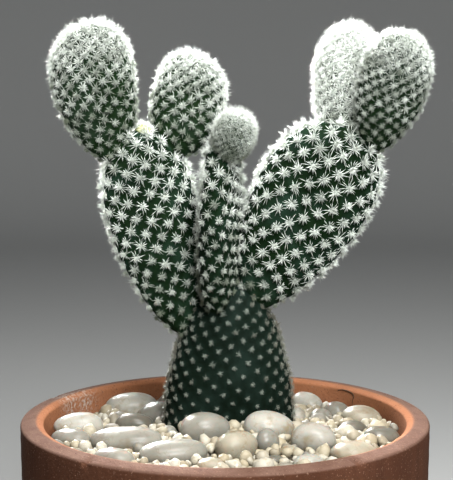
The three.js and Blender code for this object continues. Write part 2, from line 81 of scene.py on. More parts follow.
# %% [markdown]
# ## From arrays to meshes
#
# Blender can take a whole array of points at once with foreach_set, which is many times
# faster than adding them one by one. Each finished piece rides on the body here too: it
# wears its finish, and the solids that it stands for are hidden.

# %% Make a piece
def make_piece(name, points, faces, material, replaced=(), marks=None):
    """A smooth mesh from N points in millimetres and M triangles of point numbers. marks
    holds one number for each point under a name that the material can read."""
    mesh = bpy.data.meshes.new(name)
    mesh.vertices.add(len(points))
    mesh.vertices.foreach_set("co", (points * MM).astype(np.float32).ravel())
    mesh.loops.add(faces.size)
    mesh.loops.foreach_set("vertex_index", faces.astype(np.int32).ravel())
    mesh.polygons.add(len(faces))
    mesh.polygons.foreach_set("loop_start", np.arange(0, faces.size, 3, dtype=np.int32))
    mesh.polygons.foreach_set("use_smooth", np.ones(len(faces), bool))
    for mark, values in (marks or {}).items():
        layer = mesh.attributes.new(mark, "FLOAT", "POINT")
        layer.data.foreach_set("value", values.astype(np.float32))
    mesh.update(calc_edges=True)
    mesh.validate()
    mesh.materials.append(material)
    piece = bpy.data.objects.new(name, mesh)
    bpy.context.scene.collection.objects.link(piece)
    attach(piece, "root")
    if replaced:
        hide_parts(*replaced)
    print(f"{name}: {len(faces)} triangles")


# %% [markdown]
# ## Closed skins from grids
#
# A pad, a pebble and a gravel stone are all closed skins without holes. Each is a grid of
# points, rows from one end to the other and columns round the middle, with a single point
# closing each end. The order of the corners makes every triangle face outwards when the
# columns run anticlockwise, seen from the last end.

# %% Triangles of a closed grid
def closed_grid_faces(rows, columns):
    """Point 0 closes the first end, then come rows x columns points, then the last end."""
    here = np.arange(columns)
    beside = (here + 1) % columns
    start = 1 + columns * np.arange(rows - 1)[:, None]
    a, b = start + here, start + beside
    c, d = b + columns, a + columns
    walls = np.concatenate([np.stack([a, b, c], -1), np.stack([a, c, d], -1)])
    last = 1 + rows * columns
    first_end = np.stack([np.zeros_like(here), 1 + beside, 1 + here], -1)
    top = last - columns
    last_end = np.stack([np.full_like(here, last), top + here, top + beside], -1)
    return np.concatenate([first_end, walls.reshape(-1, 3), last_end])


print("a grid of 3 x 6 points closes with", len(closed_grid_faces(3, 6)), "triangles")


# %% Points of a closed grid
def closed_grid(rows, columns):
    """Polar angles from 0 to pi and turns from 0 to 2 pi of a closed grid's points."""
    polar = np.linspace(0, np.pi, rows + 2)[1:-1]
    turn = np.linspace(0, 2 * np.pi, columns, endpoint=False)
    polar, turn = np.meshgrid(polar, turn, indexing="ij")
    polar = np.concatenate([[0.0], polar.ravel(), [np.pi]])
    turn = np.concatenate([[0.0], turn.ravel(), [0.0]])
    return polar, turn


def unit(vectors):
    """Vectors brought to length one."""
    return vectors / np.maximum(np.linalg.norm(vectors, axis=-1, keepdims=True), 1e-9)


def on_sphere(polar, turn):
    """x, y, z = sin(polar) cos(turn), sin(polar) sin(turn), -cos(polar)."""
    reach = np.sin(polar)
    return np.stack([reach * np.cos(turn), reach * np.sin(turn), -np.cos(polar)], -1)


print("a ball of 3 x 6 points has", len(on_sphere(*closed_grid(3, 6))), "with its ends")

# %% [markdown]
# ## Shader helpers
#
# Every finish here starts from the same pattern, so it is built once as a node group:
# soft clouds that mix two colours. Large clouds stain a surface and tiny ones with a sharp
# border dot it with specks. A finish places the group several times, gives each its own
# values, and keeps the shader itself.

# %% Node helpers
def place_node(tree, kind, **values):
    """A node whose inputs and settings are given by name, with _ for a space."""
    node = tree.nodes.new(kind)
    for key, value in values.items():
        socket = node.inputs.get(key.replace("_", " "))
        if socket is not None:
            socket.default_value = value
        else:
            setattr(node, key, value)
    return node


def new_group(name, inputs, outputs):
    """An empty node group with named sockets, and its input and output nodes. Each socket
    is given as its name, its kind and, for an input, its usual value."""
    group = bpy.data.node_groups.new(name, "ShaderNodeTree")
    for label, kind, usual in inputs:
        socket = group.interface.new_socket(label, in_out="INPUT", socket_type=kind)
        if usual is not None:
            socket.default_value = usual
    for label, kind in outputs:
        group.interface.new_socket(label, in_out="OUTPUT", socket_type=kind)
    return group, group.nodes.new("NodeGroupInput"), group.nodes.new("NodeGroupOutput")


# %% Clouds of two colours
NOISE_MIDDLE = 0.5


def clouds_group():
    """Mixes two colours by soft noise on the coordinates that it is given: mask = (noise -
    middle) x Contrast + Shift + middle. Size is the width of a cloud in metres, Shift moves
    the balance towards the second colour, and Contrast sharpens the border between them."""
    colour, number = "NodeSocketColor", "NodeSocketFloat"
    group, given, made = new_group(
        "Clouds",
        [("First", colour, (1, 1, 1, 1)), ("Second", colour, (0, 0, 0, 1)),
         ("Vector", "NodeSocketVector", None), ("Size", number, 0.01),
         ("Shift", number, 0.0), ("Contrast", number, 2.0), ("Detail", number, 3.0)],
        [("Color", colour), ("Mask", number)],
    )
    link = group.links.new
    scale = place_node(group, "ShaderNodeMath", operation="DIVIDE")
    scale.inputs[0].default_value = 1.0
    noise = place_node(group, "ShaderNodeTexNoise", Roughness=0.55)
    centred = place_node(group, "ShaderNodeMath", operation="SUBTRACT")
    centred.inputs[1].default_value = NOISE_MIDDLE
    sharp = place_node(group, "ShaderNodeMath", operation="MULTIPLY")
    shifted = place_node(group, "ShaderNodeMath", operation="ADD")
    lifted = place_node(group, "ShaderNodeMath", operation="ADD", use_clamp=True)
    lifted.inputs[1].default_value = NOISE_MIDDLE
    mixed = place_node(group, "ShaderNodeMix", data_type="RGBA")
    link(given.outputs["Size"], scale.inputs[1])
    link(given.outputs["Vector"], noise.inputs["Vector"])
    link(scale.outputs[0], noise.inputs["Scale"])
    link(given.outputs["Detail"], noise.inputs["Detail"])
    link(noise.outputs["Fac"], centred.inputs[0])
    link(centred.outputs[0], sharp.inputs[0])
    link(given.outputs["Contrast"], sharp.inputs[1])
    link(sharp.outputs[0], shifted.inputs[0])
    link(given.outputs["Shift"], shifted.inputs[1])
    link(shifted.outputs[0], lifted.inputs[0])
    link(lifted.outputs[0], mixed.inputs["Factor"])
    link(given.outputs["First"], mixed.inputs["A"])
    link(given.outputs["Second"], mixed.inputs["B"])
    link(mixed.outputs["Result"], made.inputs["Color"])
    link(lifted.outputs[0], made.inputs["Mask"])
    return group


CLOUDS = clouds_group()


# %% A finish to build on
class Finish:
    """A material with one Principled shader, and short calls that add patterns to it."""

    def __init__(self, name, roughness=0.5, specular=0.5):
        self.material = bpy.data.materials.new(name)
        self.material.use_nodes = True
        self.tree = self.material.node_tree
        self.shader = self.tree.nodes["Principled BSDF"]
        self.shader.inputs["Roughness"].default_value = roughness
        self.shader.inputs["Specular IOR Level"].default_value = specular
        self.place = self.tree.nodes.new("ShaderNodeTexCoord").outputs["Object"]

    def node(self, kind, **values):
        """A node of this material, with its values given by name."""
        return place_node(self.tree, kind, **values)

    def link(self, source, target):
        """A wire from an output to an input."""
        self.tree.links.new(source, target)

    def dye(self, socket, colour):
        """A plain tuple is set on the socket, and another node's output is linked to it."""
        if isinstance(colour, tuple):
            socket.default_value = (*colour, 1)
        else:
            self.link(colour, socket)

    def stretched(self, scale):
        """The object's coordinates, with each axis multiplied by its own number."""
        mapping = self.node("ShaderNodeMapping", Scale=scale)
        self.link(self.place, mapping.inputs["Vector"])
        return mapping.outputs["Vector"]

    def clouds(self, first, second, size, shift=0.0, contrast=2.0, detail=3.0, where=None):
        """The Clouds group. Each colour is a plain tuple or another node's output."""
        node = self.node("ShaderNodeGroup")
        node.node_tree = CLOUDS
        self.dye(node.inputs["First"], first)
        self.dye(node.inputs["Second"], second)
        numbers = {"Size": size, "Shift": shift, "Contrast": contrast, "Detail": detail}
        for socket, number in numbers.items():
            node.inputs[socket].default_value = number
        self.link(where or self.place, node.inputs["Vector"])
        return node.outputs

    def mark(self, name):
        """A number that the mesh holds for each point."""
        return self.node("ShaderNodeAttribute", attribute_name=name).outputs["Fac"]

    def mix(self, factor, first, second):
        """A colour between two others."""
        node = self.node("ShaderNodeMix", data_type="RGBA")
        self.link(factor, node.inputs["Factor"])
        self.dye(node.inputs["A"], first)
        self.dye(node.inputs["B"], second)
        return node.outputs["Result"]

    def bump(self, sizes):
        """Noise of several sizes lifts the surface: pairs of a size and a height, in
        metres, from the coarsest to the finest."""
        normal = None
        for size, height in sizes:
            noise = self.node("ShaderNodeTexNoise", Scale=1 / size, Detail=2.0)
            self.link(self.place, noise.inputs["Vector"])
            bump = self.node("ShaderNodeBump", Distance=height)
            self.link(noise.outputs["Fac"], bump.inputs["Height"])
            if normal is not None:
                self.link(normal, bump.inputs["Normal"])
            normal = bump.outputs["Normal"]
        self.link(normal, self.shader.inputs["Normal"])

    def colour(self, output):
        """The surface takes its colour from another node's output."""
        self.link(output, self.shader.inputs["Base Color"])


print("shader groups:", [group.name for group in bpy.data.node_groups])

# %% [markdown]
# ## The pads' form
#
# A pad of this cactus is a flat egg: narrow at its foot, widest above the middle, with a
# rounded-rectangle section. One formula gives them all, so a pad is a short row of sizes:
# where its foot and tip are, how wide and thick it is, how far up it is widest, how far
# it is turned about its own axis and how much it bows to one side. After these come the
# number of its tufts, and how much more closely they stand near the tip and on the narrow
# edges. The foot of each pad is sunk in the pad that carries it, as it is on the plant.

# %% Sizes of the pads
PADS = {
    "base_pad": dict(foot=(1.3, 13.1, 80), tip=(1.8, 9.5, 160), width=48, thick=27,
                     peak=0.6, turn=0, bend=0, areoles=560, crowding=1.2, edge=1.2),
    "left_pad": dict(foot=(-13.8, 8.5, 139.8), tip=(-33, 6, 216.6), width=33.4, thick=13,
                     peak=1.4, turn=14, bend=-1, areoles=230, crowding=0.2, edge=0.8),
    "middle_pad": dict(foot=(-1.6, 13, 148), tip=(-1.2, -4, 213.7), width=35, thick=13.6,
                       peak=0.85, turn=78, bend=0, areoles=250, crowding=0.3, edge=0.5),
    "right_pad": dict(foot=(9.0, 8.5, 149.5), tip=(46.8, 4, 216.6), width=42.0, thick=13,
                      peak=1.55, turn=6, bend=-1, areoles=225, crowding=0.2, edge=0.8),
    "left_top_pad": dict(foot=(-39.6, 3.2, 204.5), tip=(-49.3, 3, 254.0), width=28.6,
                         thick=12, peak=1.4, turn=10, bend=-2, areoles=250, crowding=1.4,
                         edge=0.6),
    "left_back_pad": dict(foot=(-20.3, 8.7, 206), tip=(-11.4, 18, 242.7), width=25.8,
                          thick=12, peak=1.2, turn=-6, bend=2, areoles=190, crowding=1.4,
                          edge=0.6),
    "right_back_pad": dict(foot=(43.3, 5, 212.5), tip=(46.6, 16, 253), width=24.0,
                           thick=12, peak=1.05, turn=0, bend=0.5, areoles=330, crowding=1.6,
                           edge=0.6),
    "right_front_pad": dict(foot=(53.6, 4.4, 209.4), tip=(62.9, -7, 250.6), width=24.6,
                            thick=12, peak=1.3, turn=10, bend=1, areoles=250, crowding=1.6,
                            edge=0.6),
    "middle_top_pad": dict(foot=(1.4, -7, 206.3), tip=(4.4, -9, 222.4), width=13.2,
                           thick=13.0, peak=1.2, turn=0, bend=0, areoles=240, crowding=0.3,
                           edge=0.0),
    "left_bud": dict(foot=(-30.6, 6, 211.5), tip=(-29.2, 6, 218.2), width=6.4,
                     thick=5.6, peak=1.1, turn=0, bend=0, areoles=26, crowding=0.0, edge=0.0),
}
SECTION_POWER = 2.3
FULLNESS, THICK_FULLNESS = 0.88, 0.6
print(len(PADS), "pads with", sum(pad["areoles"] for pad in PADS.values()), "areoles")


# %% A pad's own directions
def pad_frame(pad):
    """The foot, the unit vector from foot to tip, the length between them, and two unit
    vectors square to it: side, across the flat face, and back, away from that face."""
    foot = np.array(pad["foot"], float)
    axis = np.array(pad["tip"], float) - foot
    length = np.linalg.norm(axis)
    axis = axis / length
    away = np.array([0.0, 1.0, 0.0])
    away = unit(away - away @ axis * axis)
    side = np.cross(away, axis)
    turn = math.radians(pad["turn"])
    turned_side = side * math.cos(turn) + away * math.sin(turn)
    turned_back = away * math.cos(turn) - side * math.sin(turn)
    return foot, axis, length, turned_side, turned_back


def signed_power(values, power):
    """The size of each value raised to a power, with its sign kept."""
    return np.sign(values) * np.abs(values) ** power


print("the right pad is", round(float(pad_frame(PADS["right_pad"])[2]), 1), "mm long")


# %% A pad's outline, section and bow
def share_of_length(pad, polar):
    """How far up the pad a polar angle lies: ((1 - cos polar) / 2) ^ (1 / peak)."""
    return ((1 - np.cos(polar)) / 2) ** (1 / pad["peak"])


def section(turn):
    """x and y of the section |x|^2.3 + |y|^2.3 = 1 at a turn round it."""
    return (signed_power(np.cos(turn), 2 / SECTION_POWER),
            signed_power(np.sin(turn), 2 / SECTION_POWER))


def bow_at(pad, along):
    """How far the pad bows to one side: bend x 4 x along x (1 - along)."""
    return pad["bend"] * 4 * along * (1 - along)


# %% A pad's surface
def pad_surface(pad, polar, turn):
    """A point of the skin for each pair of angles. Polar runs from 0 at the foot to pi at
    the tip and sets the place along the axis and the girth, (sin polar) ^ fullness. Turn
    goes round the section. The thickness is girth ^ 0.6, so it stays even for longer than
    the width does."""
    foot, axis, length, side, back = pad_frame(pad)
    along = share_of_length(pad, polar)
    girth = np.maximum(np.sin(polar), 0) ** FULLNESS
    across, through = section(turn)
    bow = bow_at(pad, along)
    sideways = pad["width"] / 2 * girth * across + bow
    backwards = pad["thick"] / 2 * girth ** THICK_FULLNESS * through
    return (foot + np.multiply.outer(length * along, axis)
            + np.multiply.outer(sideways, side) + np.multiply.outer(backwards, back))


trunk_side = pad_surface(PADS["base_pad"], np.pi / 2, 0.0)
print("the trunk's side stands at", trunk_side.round(1).tolist(), "mm")

# %% What lies inside a pad
NEAR_END = 1e-6


def inside_pad(pad, points, clearance):
    """Which points lie inside a pad that is grown by a clearance on every side: those
    between its ends whose place in the section, |x|^2.3 + |y|^2.3, is below 1."""
    foot, axis, length, side, back = pad_frame(pad)
    local = points - foot
    along = (local @ axis + clearance) / (length + 2 * clearance)
    inside = (along > 0) & (along < 1)
    along = np.clip(along, NEAR_END, 1 - NEAR_END)
    height = 2 * along ** pad["peak"] - 1
    girth = np.sqrt(1 - height ** 2) ** FULLNESS
    bow = bow_at(pad, along)
    across = (local @ side - bow) / ((pad["width"] / 2 + clearance) * girth)
    through = (local @ back) / ((pad["thick"] / 2 + clearance) * girth ** THICK_FULLNESS)
    place = np.abs(across) ** SECTION_POWER + np.abs(through) ** SECTION_POWER
    return inside & (place < 1)


print("its side is inside the trunk grown by 0.1 mm:",
      bool(inside_pad(PADS["base_pad"], trunk_side, 0.1)))

# %% [markdown]
# ## Where the tufts grow
#
# The white tufts grow from small cushions called areoles, which stand in crossing spirals.
# A golden-angle spiral gives the same pattern with one short rule: each areole is turned
# by the golden share of a full turn from the last and takes an equal share of the skin.
# Near the tip of a young pad the shares are smaller, because the skin there has not yet
# stretched, so the tufts close up into white felt. They crowd on the narrow edges too, and
# a little at the foot.

# %% Areoles of a pad
GOLDEN = (math.sqrt(5) - 1) / 2
TABLE_STEPS = 400
FOOT_CROWDING = 0.7


def areole_angles(pad):
    """The polar angle and turn of each areole. The skin's area up to each polar angle is
    summed in a table, times 1 + crowding x share of length ^ 2 + 0.7 (1 - share)^3, and so
    is the length round the section, times 1 + edge x cos(turn) ^ 4. Reading both tables
    backwards at equal shares gives the angles."""
    _, _, length, _, _ = pad_frame(pad)
    edges = np.linspace(0, np.pi, TABLE_STEPS + 1)
    place = share_of_length(pad, edges)
    rise = length * np.diff(place)
    spread = (pad["width"] + pad["thick"]) / 4 * np.diff(np.sin(edges))
    girth = np.sin((edges[1:] + edges[:-1]) / 2) ** FULLNESS
    density = 1 + pad["crowding"] * place[1:] ** 2 + FOOT_CROWDING * (1 - place[1:]) ** 3
    shares = np.concatenate([[0], np.cumsum(np.hypot(rise, spread) * girth * density)])
    turns = np.linspace(0, 2 * np.pi, TABLE_STEPS + 1)
    across, through = section(turns)
    steps = np.hypot(np.diff(pad["width"] / 2 * across), np.diff(pad["thick"] / 2 * through))
    on_edge = 1 + pad["edge"] * np.cos((turns[1:] + turns[:-1]) / 2) ** 4
    rounds = np.concatenate([[0], np.cumsum(steps * on_edge)])
    number = np.arange(pad["areoles"])
    polar = np.interp((number + 0.5) / pad["areoles"] * shares[-1], shares, edges)
    turn = np.interp(number * GOLDEN % 1 * rounds[-1], rounds, turns)
    return polar, turn


print("each areole is", round(GOLDEN, 3), "of a turn further round than the last")

# %% Places and directions of the areoles
PROBE = 0.02


def skin_directions(pad, polar, turn):
    """Unit vectors straight out of the skin and along it towards the tip, worked out from
    the skin's points at a small step of the angles to either side."""
    up = pad_surface(pad, polar + PROBE, turn) - pad_surface(pad, polar - PROBE, turn)
    aside = pad_surface(pad, polar, turn + PROBE) - pad_surface(pad, polar, turn - PROBE)
    return unit(np.cross(aside, up)), unit(up)


def areole_places(pad):
    """Each areole's point on the skin, the direction straight out of it, the direction
    along the skin towards the tip, and how far up the pad it is, from 0 to 1."""
    polar, turn = areole_angles(pad)
    polar = np.clip(polar, 2 * PROBE, np.pi - 2 * PROBE)
    out, up = skin_directions(pad, polar, turn)
    return pad_surface(pad, polar, turn), out, up, share_of_length(pad, polar)


places = areole_places(PADS["right_pad"])[0]
nearest = np.sort(np.linalg.norm(places[:, None] - places, axis=-1), axis=1)[:, 1]
print("right pad's areoles stand", round(float(np.median(nearest)), 1), "mm apart")

# %% Areoles hidden in another pad
TUFT_HEIGHT, TUFT_CLEARANCE = 0.8, 0.2


def is_covered(name, root, out):
    """Which areoles have the middle of their tuft inside another pad, or too near it."""
    points = root + TUFT_HEIGHT * out
    hidden = np.zeros(len(points), bool)
    for other, pad in PADS.items():
        if other != name:
            hidden |= inside_pad(pad, points, TUFT_CLEARANCE)
    return hidden


root, out, _, _ = areole_places(PADS["left_pad"])
print(int(is_covered("left_pad", root, out).sum()), "areoles of the left pad are hidden")

# %% [markdown]
# ## The skin's finish
#
# The skin is a waxy green, bluer on the old trunk and darker there as painted shade, and
# paler on the young pads, with cloudy patches of grey bloom and a lighter ring round every
# areole. The ring comes from a number that each mesh point carries: how near it is to an
# areole.

# %% Finishes of the skin
BLOOM_SHIFT = -0.50


def skin_finish(name, deep, light, bloom):
    """Green clouds with fine light specks, then bloom over them, then the pale rings round
    the areoles. The shift says how little of the skin the bloom covers."""
    finish = Finish(name, roughness=0.65, specular=0.03)
    green = finish.clouds(deep, light, size=0.012, contrast=2.6)["Color"]
    fine = finish.clouds(green, light, size=0.0016, shift=-0.42, contrast=3.0)["Color"]
    waxy = finish.clouds(fine, bloom, size=0.015, shift=BLOOM_SHIFT, contrast=3.2)["Color"]
    finish.colour(finish.mix(finish.mark("near_areole"), waxy, bloom))
    finish.bump([(0.004, 0.0003), (0.0006, 0.00006)])
    return finish.material


# The trunk's skin is darker than the pads' as painted shade under the pads above it.
SHADED_TRUNK_SKIN = skin_finish("shaded trunk skin", (0.0012, 0.0032, 0.0015), (0.003, 0.007, 0.004),
                         (0.009, 0.018, 0.014))
PAD_SKIN = skin_finish("pad skin", (0.0012, 0.0048, 0.0014), (0.0040, 0.012, 0.0035),
                       (0.012, 0.028, 0.018))
YOUNG_SKIN = skin_finish("young skin", (0.0014, 0.0050, 0.0011), (0.0045, 0.014, 0.0028),
                         (0.012, 0.023, 0.013))
BUD_SKIN = skin_finish("bud skin", (0.10, 0.12, 0.035), (0.22, 0.23, 0.07),
                       (0.30, 0.31, 0.16))
print("skins:", SHADED_TRUNK_SKIN.name, PAD_SKIN.name, YOUNG_SKIN.name, BUD_SKIN.name)

# %% [markdown]
# ## The skins
#
# Each skin is the pad's formula on a fine grid. The skin rises a little round each areole
# and waves slightly over a centimetre or two, because no pad on a real plant is as even
# as its formula.

# %% Waves in a surface
WAVE_SLANTS = np.array([[1.0, 0.4, 0.7], [-0.5, 1.0, 0.6], [0.3, -0.7, 1.0]])


def waves(points, length, height):
    """height / 2 times the sum of a sine along each of three slanted directions."""
    return height * np.sin(points @ WAVE_SLANTS.T * (2 * np.pi / length)).sum(-1) / 2


print("the surface waves along", len(WAVE_SLANTS), "directions")

# %% Grow the skins
SKIN_ROWS, SKIN_COLUMNS = 110, 150
FULL_GRID_LENGTH = 45.0
AREOLE_RISE, AREOLE_RISE_RADIUS = 0.25, 1.9
WAVE_HEIGHT, WAVE_LENGTH = 0.22, 17.0
SKINS = {"base_pad": SHADED_TRUNK_SKIN, "left_pad": PAD_SKIN, "middle_pad": PAD_SKIN,
         "right_pad": PAD_SKIN, "left_top_pad": YOUNG_SKIN, "left_back_pad": YOUNG_SKIN,
         "right_back_pad": YOUNG_SKIN, "right_front_pad": YOUNG_SKIN,
         "middle_top_pad": YOUNG_SKIN, "left_bud": BUD_SKIN}


def grow_skin(name, pad, rows, columns):
    """The pad's surface, moved outwards by a soft bump at each areole, rise x
    exp(-(distance / radius)^2), and by slow waves. A short pad has a smaller grid."""
    polar, turn = closed_grid(rows, columns)
    points = pad_surface(pad, polar, turn)
    axis = pad_frame(pad)[1]
    out, _ = skin_directions(pad, np.clip(polar, PROBE, np.pi - PROBE), turn)
    out[0], out[-1] = -axis, axis
    roots = areole_places(pad)[0]
    apart = np.linalg.norm(points[:, None] - roots, axis=-1).min(1)
    near = np.exp(-(apart / AREOLE_RISE_RADIUS) ** 2)
    lift = AREOLE_RISE * near + waves(points, WAVE_LENGTH, WAVE_HEIGHT)
    points = points + out * lift[:, None]
    make_piece(f"{name}_skin", points, closed_grid_faces(rows, columns), SKINS[name],
               [name],
               {"near_areole": near ** 2})


for name, pad in PADS.items():
    share = min(1.0, math.dist(pad["tip"], pad["foot"]) / FULL_GRID_LENGTH)
    grow_skin(name, pad, int(SKIN_ROWS * share), int(SKIN_COLUMNS * share))

# %% [markdown]
# ## The bristles' finish
#
# The bristles are white and faintly shiny, and a little greenish where they leave the
# skin. On the old trunk they have weathered to grey and are darker still, as painted shade.
# Each mesh point says how far out along its bristle it is, and how dark its own tuft is,
# from wear and from painted shade low on each pad.

# %% Finishes of the bristles
def bristle_finish(name, root_colour, tip_colour, wear_and_shade_colour):
    """From the root's colour to the tip's along each bristle, and towards a dark colour in
    some tufts, for wear and for painted shade low on each pad."""
    finish = Finish(name, roughness=0.5, specular=0.4)
    length = finish.mix(finish.mark("outwards"), root_colour, tip_colour)
    finish.colour(finish.mix(finish.mark("wear_and_shade"), length, wear_and_shade_colour))
    return finish.material


# The third colour darkens tufts for wear and as painted shade low on each pad.
WHITE_BRISTLES = bristle_finish("white bristles", (0.58, 0.63, 0.54), (0.94, 0.97, 0.95),
                                (0.15, 0.175, 0.125))
# The trunk's bristles are weathered grey and darker still as painted shade under the pads.
GREY_BRISTLES = bristle_finish("grey bristles", (0.15, 0.17, 0.14), (0.33, 0.37, 0.32),
                               (0.12, 0.11, 0.08))
print("bristles:", WHITE_BRISTLES.name, GREY_BRISTLES.name)

# %% [markdown]
# ## The tufts
#
# An areole holds dozens of bristles that spread from one spot like the rays of a star:
# long rays that lie near the skin, and a heart of shorter ones that stand up. The plant
# has more than a hundred thousand of them, so each is the smallest closed shape that
# tapers both ways: a spindle with three sides. Around the root of every tuft lies a little
# pad of wool. On the old trunk and low on each pad the bristles have broken off short.
#
# Each pad has a row of sizes: how many bristles a tuft has in its rays and in its heart,
# how long and thick they are, how wide the wool is, and up to which share of the pad's
# length, from its foot, the tufts have aged. Aged tufts are shorter, and darker from wear
# and from painted shade low on the pad.

# %% Sizes of the tufts
# The aged share also darkens the tufts below it: partly wear, partly painted shade.
TUFTS = {
    "base_pad": dict(rays=22, heart=20, length=1.15, girth=0.15, wool=0.32, aged=0.0),
    "left_pad": dict(rays=20, heart=38, length=2.9, girth=0.20, wool=0.55, aged=0.55),
    "middle_pad": dict(rays=20, heart=34, length=2.6, girth=0.19, wool=0.45, aged=1.0),
    "right_pad": dict(rays=20, heart=40, length=3.1, girth=0.21, wool=0.55, aged=0.30),
    "left_top_pad": dict(rays=20, heart=36, length=2.8, girth=0.18, wool=0.4, aged=1.0),
    "left_back_pad": dict(rays=20, heart=36, length=2.7, girth=0.18, wool=0.4, aged=0.85),
    "right_back_pad": dict(rays=28, heart=30, length=2.8, girth=0.20, wool=0.4, aged=0.3),
    "right_front_pad": dict(rays=20, heart=36, length=2.5, girth=0.17, wool=0.4, aged=1.0),
    "middle_top_pad": dict(rays=10, heart=24, length=2.9, girth=0.11, wool=0.2, aged=1.2),
    "left_bud": dict(rays=20, heart=12, length=2.3, girth=0.17, wool=0.2, aged=0.0),
}
bristle_count = sum((tuft["rays"] + tuft["heart"]) * PADS[name]["areoles"]
                    for name, tuft in TUFTS.items())
print("bristles, if every areole is free:", bristle_count)


# %% Bristles of a set of tufts
RAY_LEAN, HEART_LEAN, HEART_LENGTH = (42, 82), (0, 42), 0.85
LEAN_STRAY, TURN_STRAY = 0.07, 0.12
SHORT_LENGTHS, LONG_LENGTHS, LONG_SHARE = (0.5, 1.0), (1.1, 1.4), 0.16
ROOT_SPREAD, ROOT_LIFT, OFF_AXIS = 0.25, 0.1, 0.01
WAIST, WAIST_SIDES = 0.55, 3
BRISTLE_CORNERS = 5
BRISTLE_FACES = np.array([[0, 2, 1], [0, 3, 2], [0, 1, 3], [1, 2, 4], [2, 3, 4], [3, 1, 4]])
BRISTLE_OUTWARDS = [0.0, 0.4, 0.4, 0.4, 1.0]


def bristle_points(root, out, up, count, lean_range, length, girth, random):
    """Five corners for every bristle of every tuft: its root, three round its waist and
    its tip. Bristle k of a tuft is turned by k golden shares of a full turn round the way
    out, and leans away from it by an angle that grows with the square root of k / count,
    both a little astray. Its way is cos(lean) out + sin(lean) flat. A few in each tuft are
    longer than the rest."""
    tufts = len(root)
    share = (np.arange(count) + 0.5) / count
    low, high = np.radians(lean_range)
    lean = low + (high - low) * np.sqrt(share) + random.normal(0, LEAN_STRAY, (tufts, count))
    turn = 2 * np.pi * (GOLDEN * np.arange(count) + random.random((tufts, 1)))
    turn = turn + random.normal(0, TURN_STRAY, (tufts, count))
    aside = np.cross(out, up)
    flat = (np.cos(turn)[..., None] * aside[:, None]
            + np.sin(turn)[..., None] * up[:, None])
    way = unit(np.cos(lean)[..., None] * out[:, None] + np.sin(lean)[..., None] * flat)
    short = random.uniform(*SHORT_LENGTHS, lean.shape)
    long = random.uniform(*LONG_LENGTHS, lean.shape)
    share = np.where(random.random(lean.shape) < LONG_SHARE, long, short)
    reach = (length[:, None] * share)[..., None]
    start = (root[:, None] + flat * ROOT_SPREAD * np.sin(lean)[..., None]
             + out[:, None] * ROOT_LIFT)
    first = unit(np.cross(way, out[:, None] + OFF_AXIS))
    second = np.cross(way, first)
    angles = 2 * np.pi * np.arange(WAIST_SIDES) / WAIST_SIDES
    ring = (np.cos(angles)[:, None] * first[..., None, :]
            + np.sin(angles)[:, None] * second[..., None, :])
    waist = (start + way * reach * WAIST)[..., None, :] + ring * girth / 2
    tip = start + way * reach
    corners = np.concatenate([start[..., None, :], waist, tip[..., None, :]], -2)
    return corners.reshape(-1, 3)


# %% Wool of a set of tufts
WOOL_ROWS, WOOL_COLUMNS = 3, 7
WOOL_SIZES, WOOL_FLATNESS, WOOL_OUTWARDS = (0.8, 1.15), 0.7, 0.55


def wool_points(root, out, up, radius, random):
    """A low dome of wool on every areole: x up + y aside + 0.7 z out for the points x, y,
    z of a ball, times the dome's own size."""
    ball = on_sphere(*closed_grid(WOOL_ROWS, WOOL_COLUMNS))
    aside = np.cross(out, up)
    size = radius * random.uniform(*WOOL_SIZES, (len(root), 1, 1))
    return root[:, None] + size * (ball[:, :1] * up[:, None] + ball[:, 1:2] * aside[:, None]
                                   + ball[:, 2:] * WOOL_FLATNESS * out[:, None])


def repeat_faces(faces, corners, copies):
    """The same triangles for each copy of a small shape with that many corners."""
    return (faces[None] + corners * np.arange(copies)[:, None, None]).reshape(-1, 3)


print("a tuft's wool has", len(closed_grid_faces(WOOL_ROWS, WOOL_COLUMNS)), "triangles")


# %% Youth and length of the tufts
SOIL_LINE = 103.5
AGED_LENGTH, YOUTH_STRAY, LEAST_AGED = 0.6, 0.12, 0.01
CROWN_FROM, CROWN_GAIN = 0.62, 0.35
TRUNK_AGED_BELOW = 135.0
TRUNK_YOUTH, TRUNK_FOOT_YOUTH = 1.25, 0.7


def youth_and_length(tuft, along, random):
    """youth = along / aged share, a little astray, and length = tuft's length x (0.6 + 0.4
    youth + 0.35 crown), where crown rises from 0 to 1 over the last stretch to the tip."""
    youth = along / max(tuft["aged"], LEAST_AGED) + random.normal(0, YOUTH_STRAY, len(along))
    youth = np.clip(youth, 0, 1)
    crown = np.clip((along - CROWN_FROM) / (1 - CROWN_FROM), 0, 1)
    share = AGED_LENGTH + (1 - AGED_LENGTH) * youth + CROWN_GAIN * crown
    return youth, tuft["length"] * share


def trunk_youth_and_length(tuft, root, out):
    """On the trunk length = tuft's length x (0.6 + 0.4 height + sideways ^ 4), with the
    height above the soil as a share. The tufts that face sideways keep their full length,
    but are the most weathered: youth = (1.25 - sideways) x (0.7 + 0.3 height)."""
    height = np.clip((root[:, 2] - SOIL_LINE) / (TRUNK_AGED_BELOW - SOIL_LINE), 0, 1)
    sideways = np.abs(out @ pad_frame(PADS["base_pad"])[3])
    share = AGED_LENGTH + (1 - AGED_LENGTH) * height + sideways ** 4
    youth = (np.clip(TRUNK_YOUTH - sideways, 0, 1)
             * (TRUNK_FOOT_YOUTH + (1 - TRUNK_FOOT_YOUTH) * height))
    return youth, tuft["length"] * share


# %% Grow the tufts
FIRST_SEED = 100
TUFT_TILT = 0.13
WORN_USUALLY, WORN_STRAY, WEAR_AND_SHADE_BY_AGE = 0.1, 0.15, 0.9


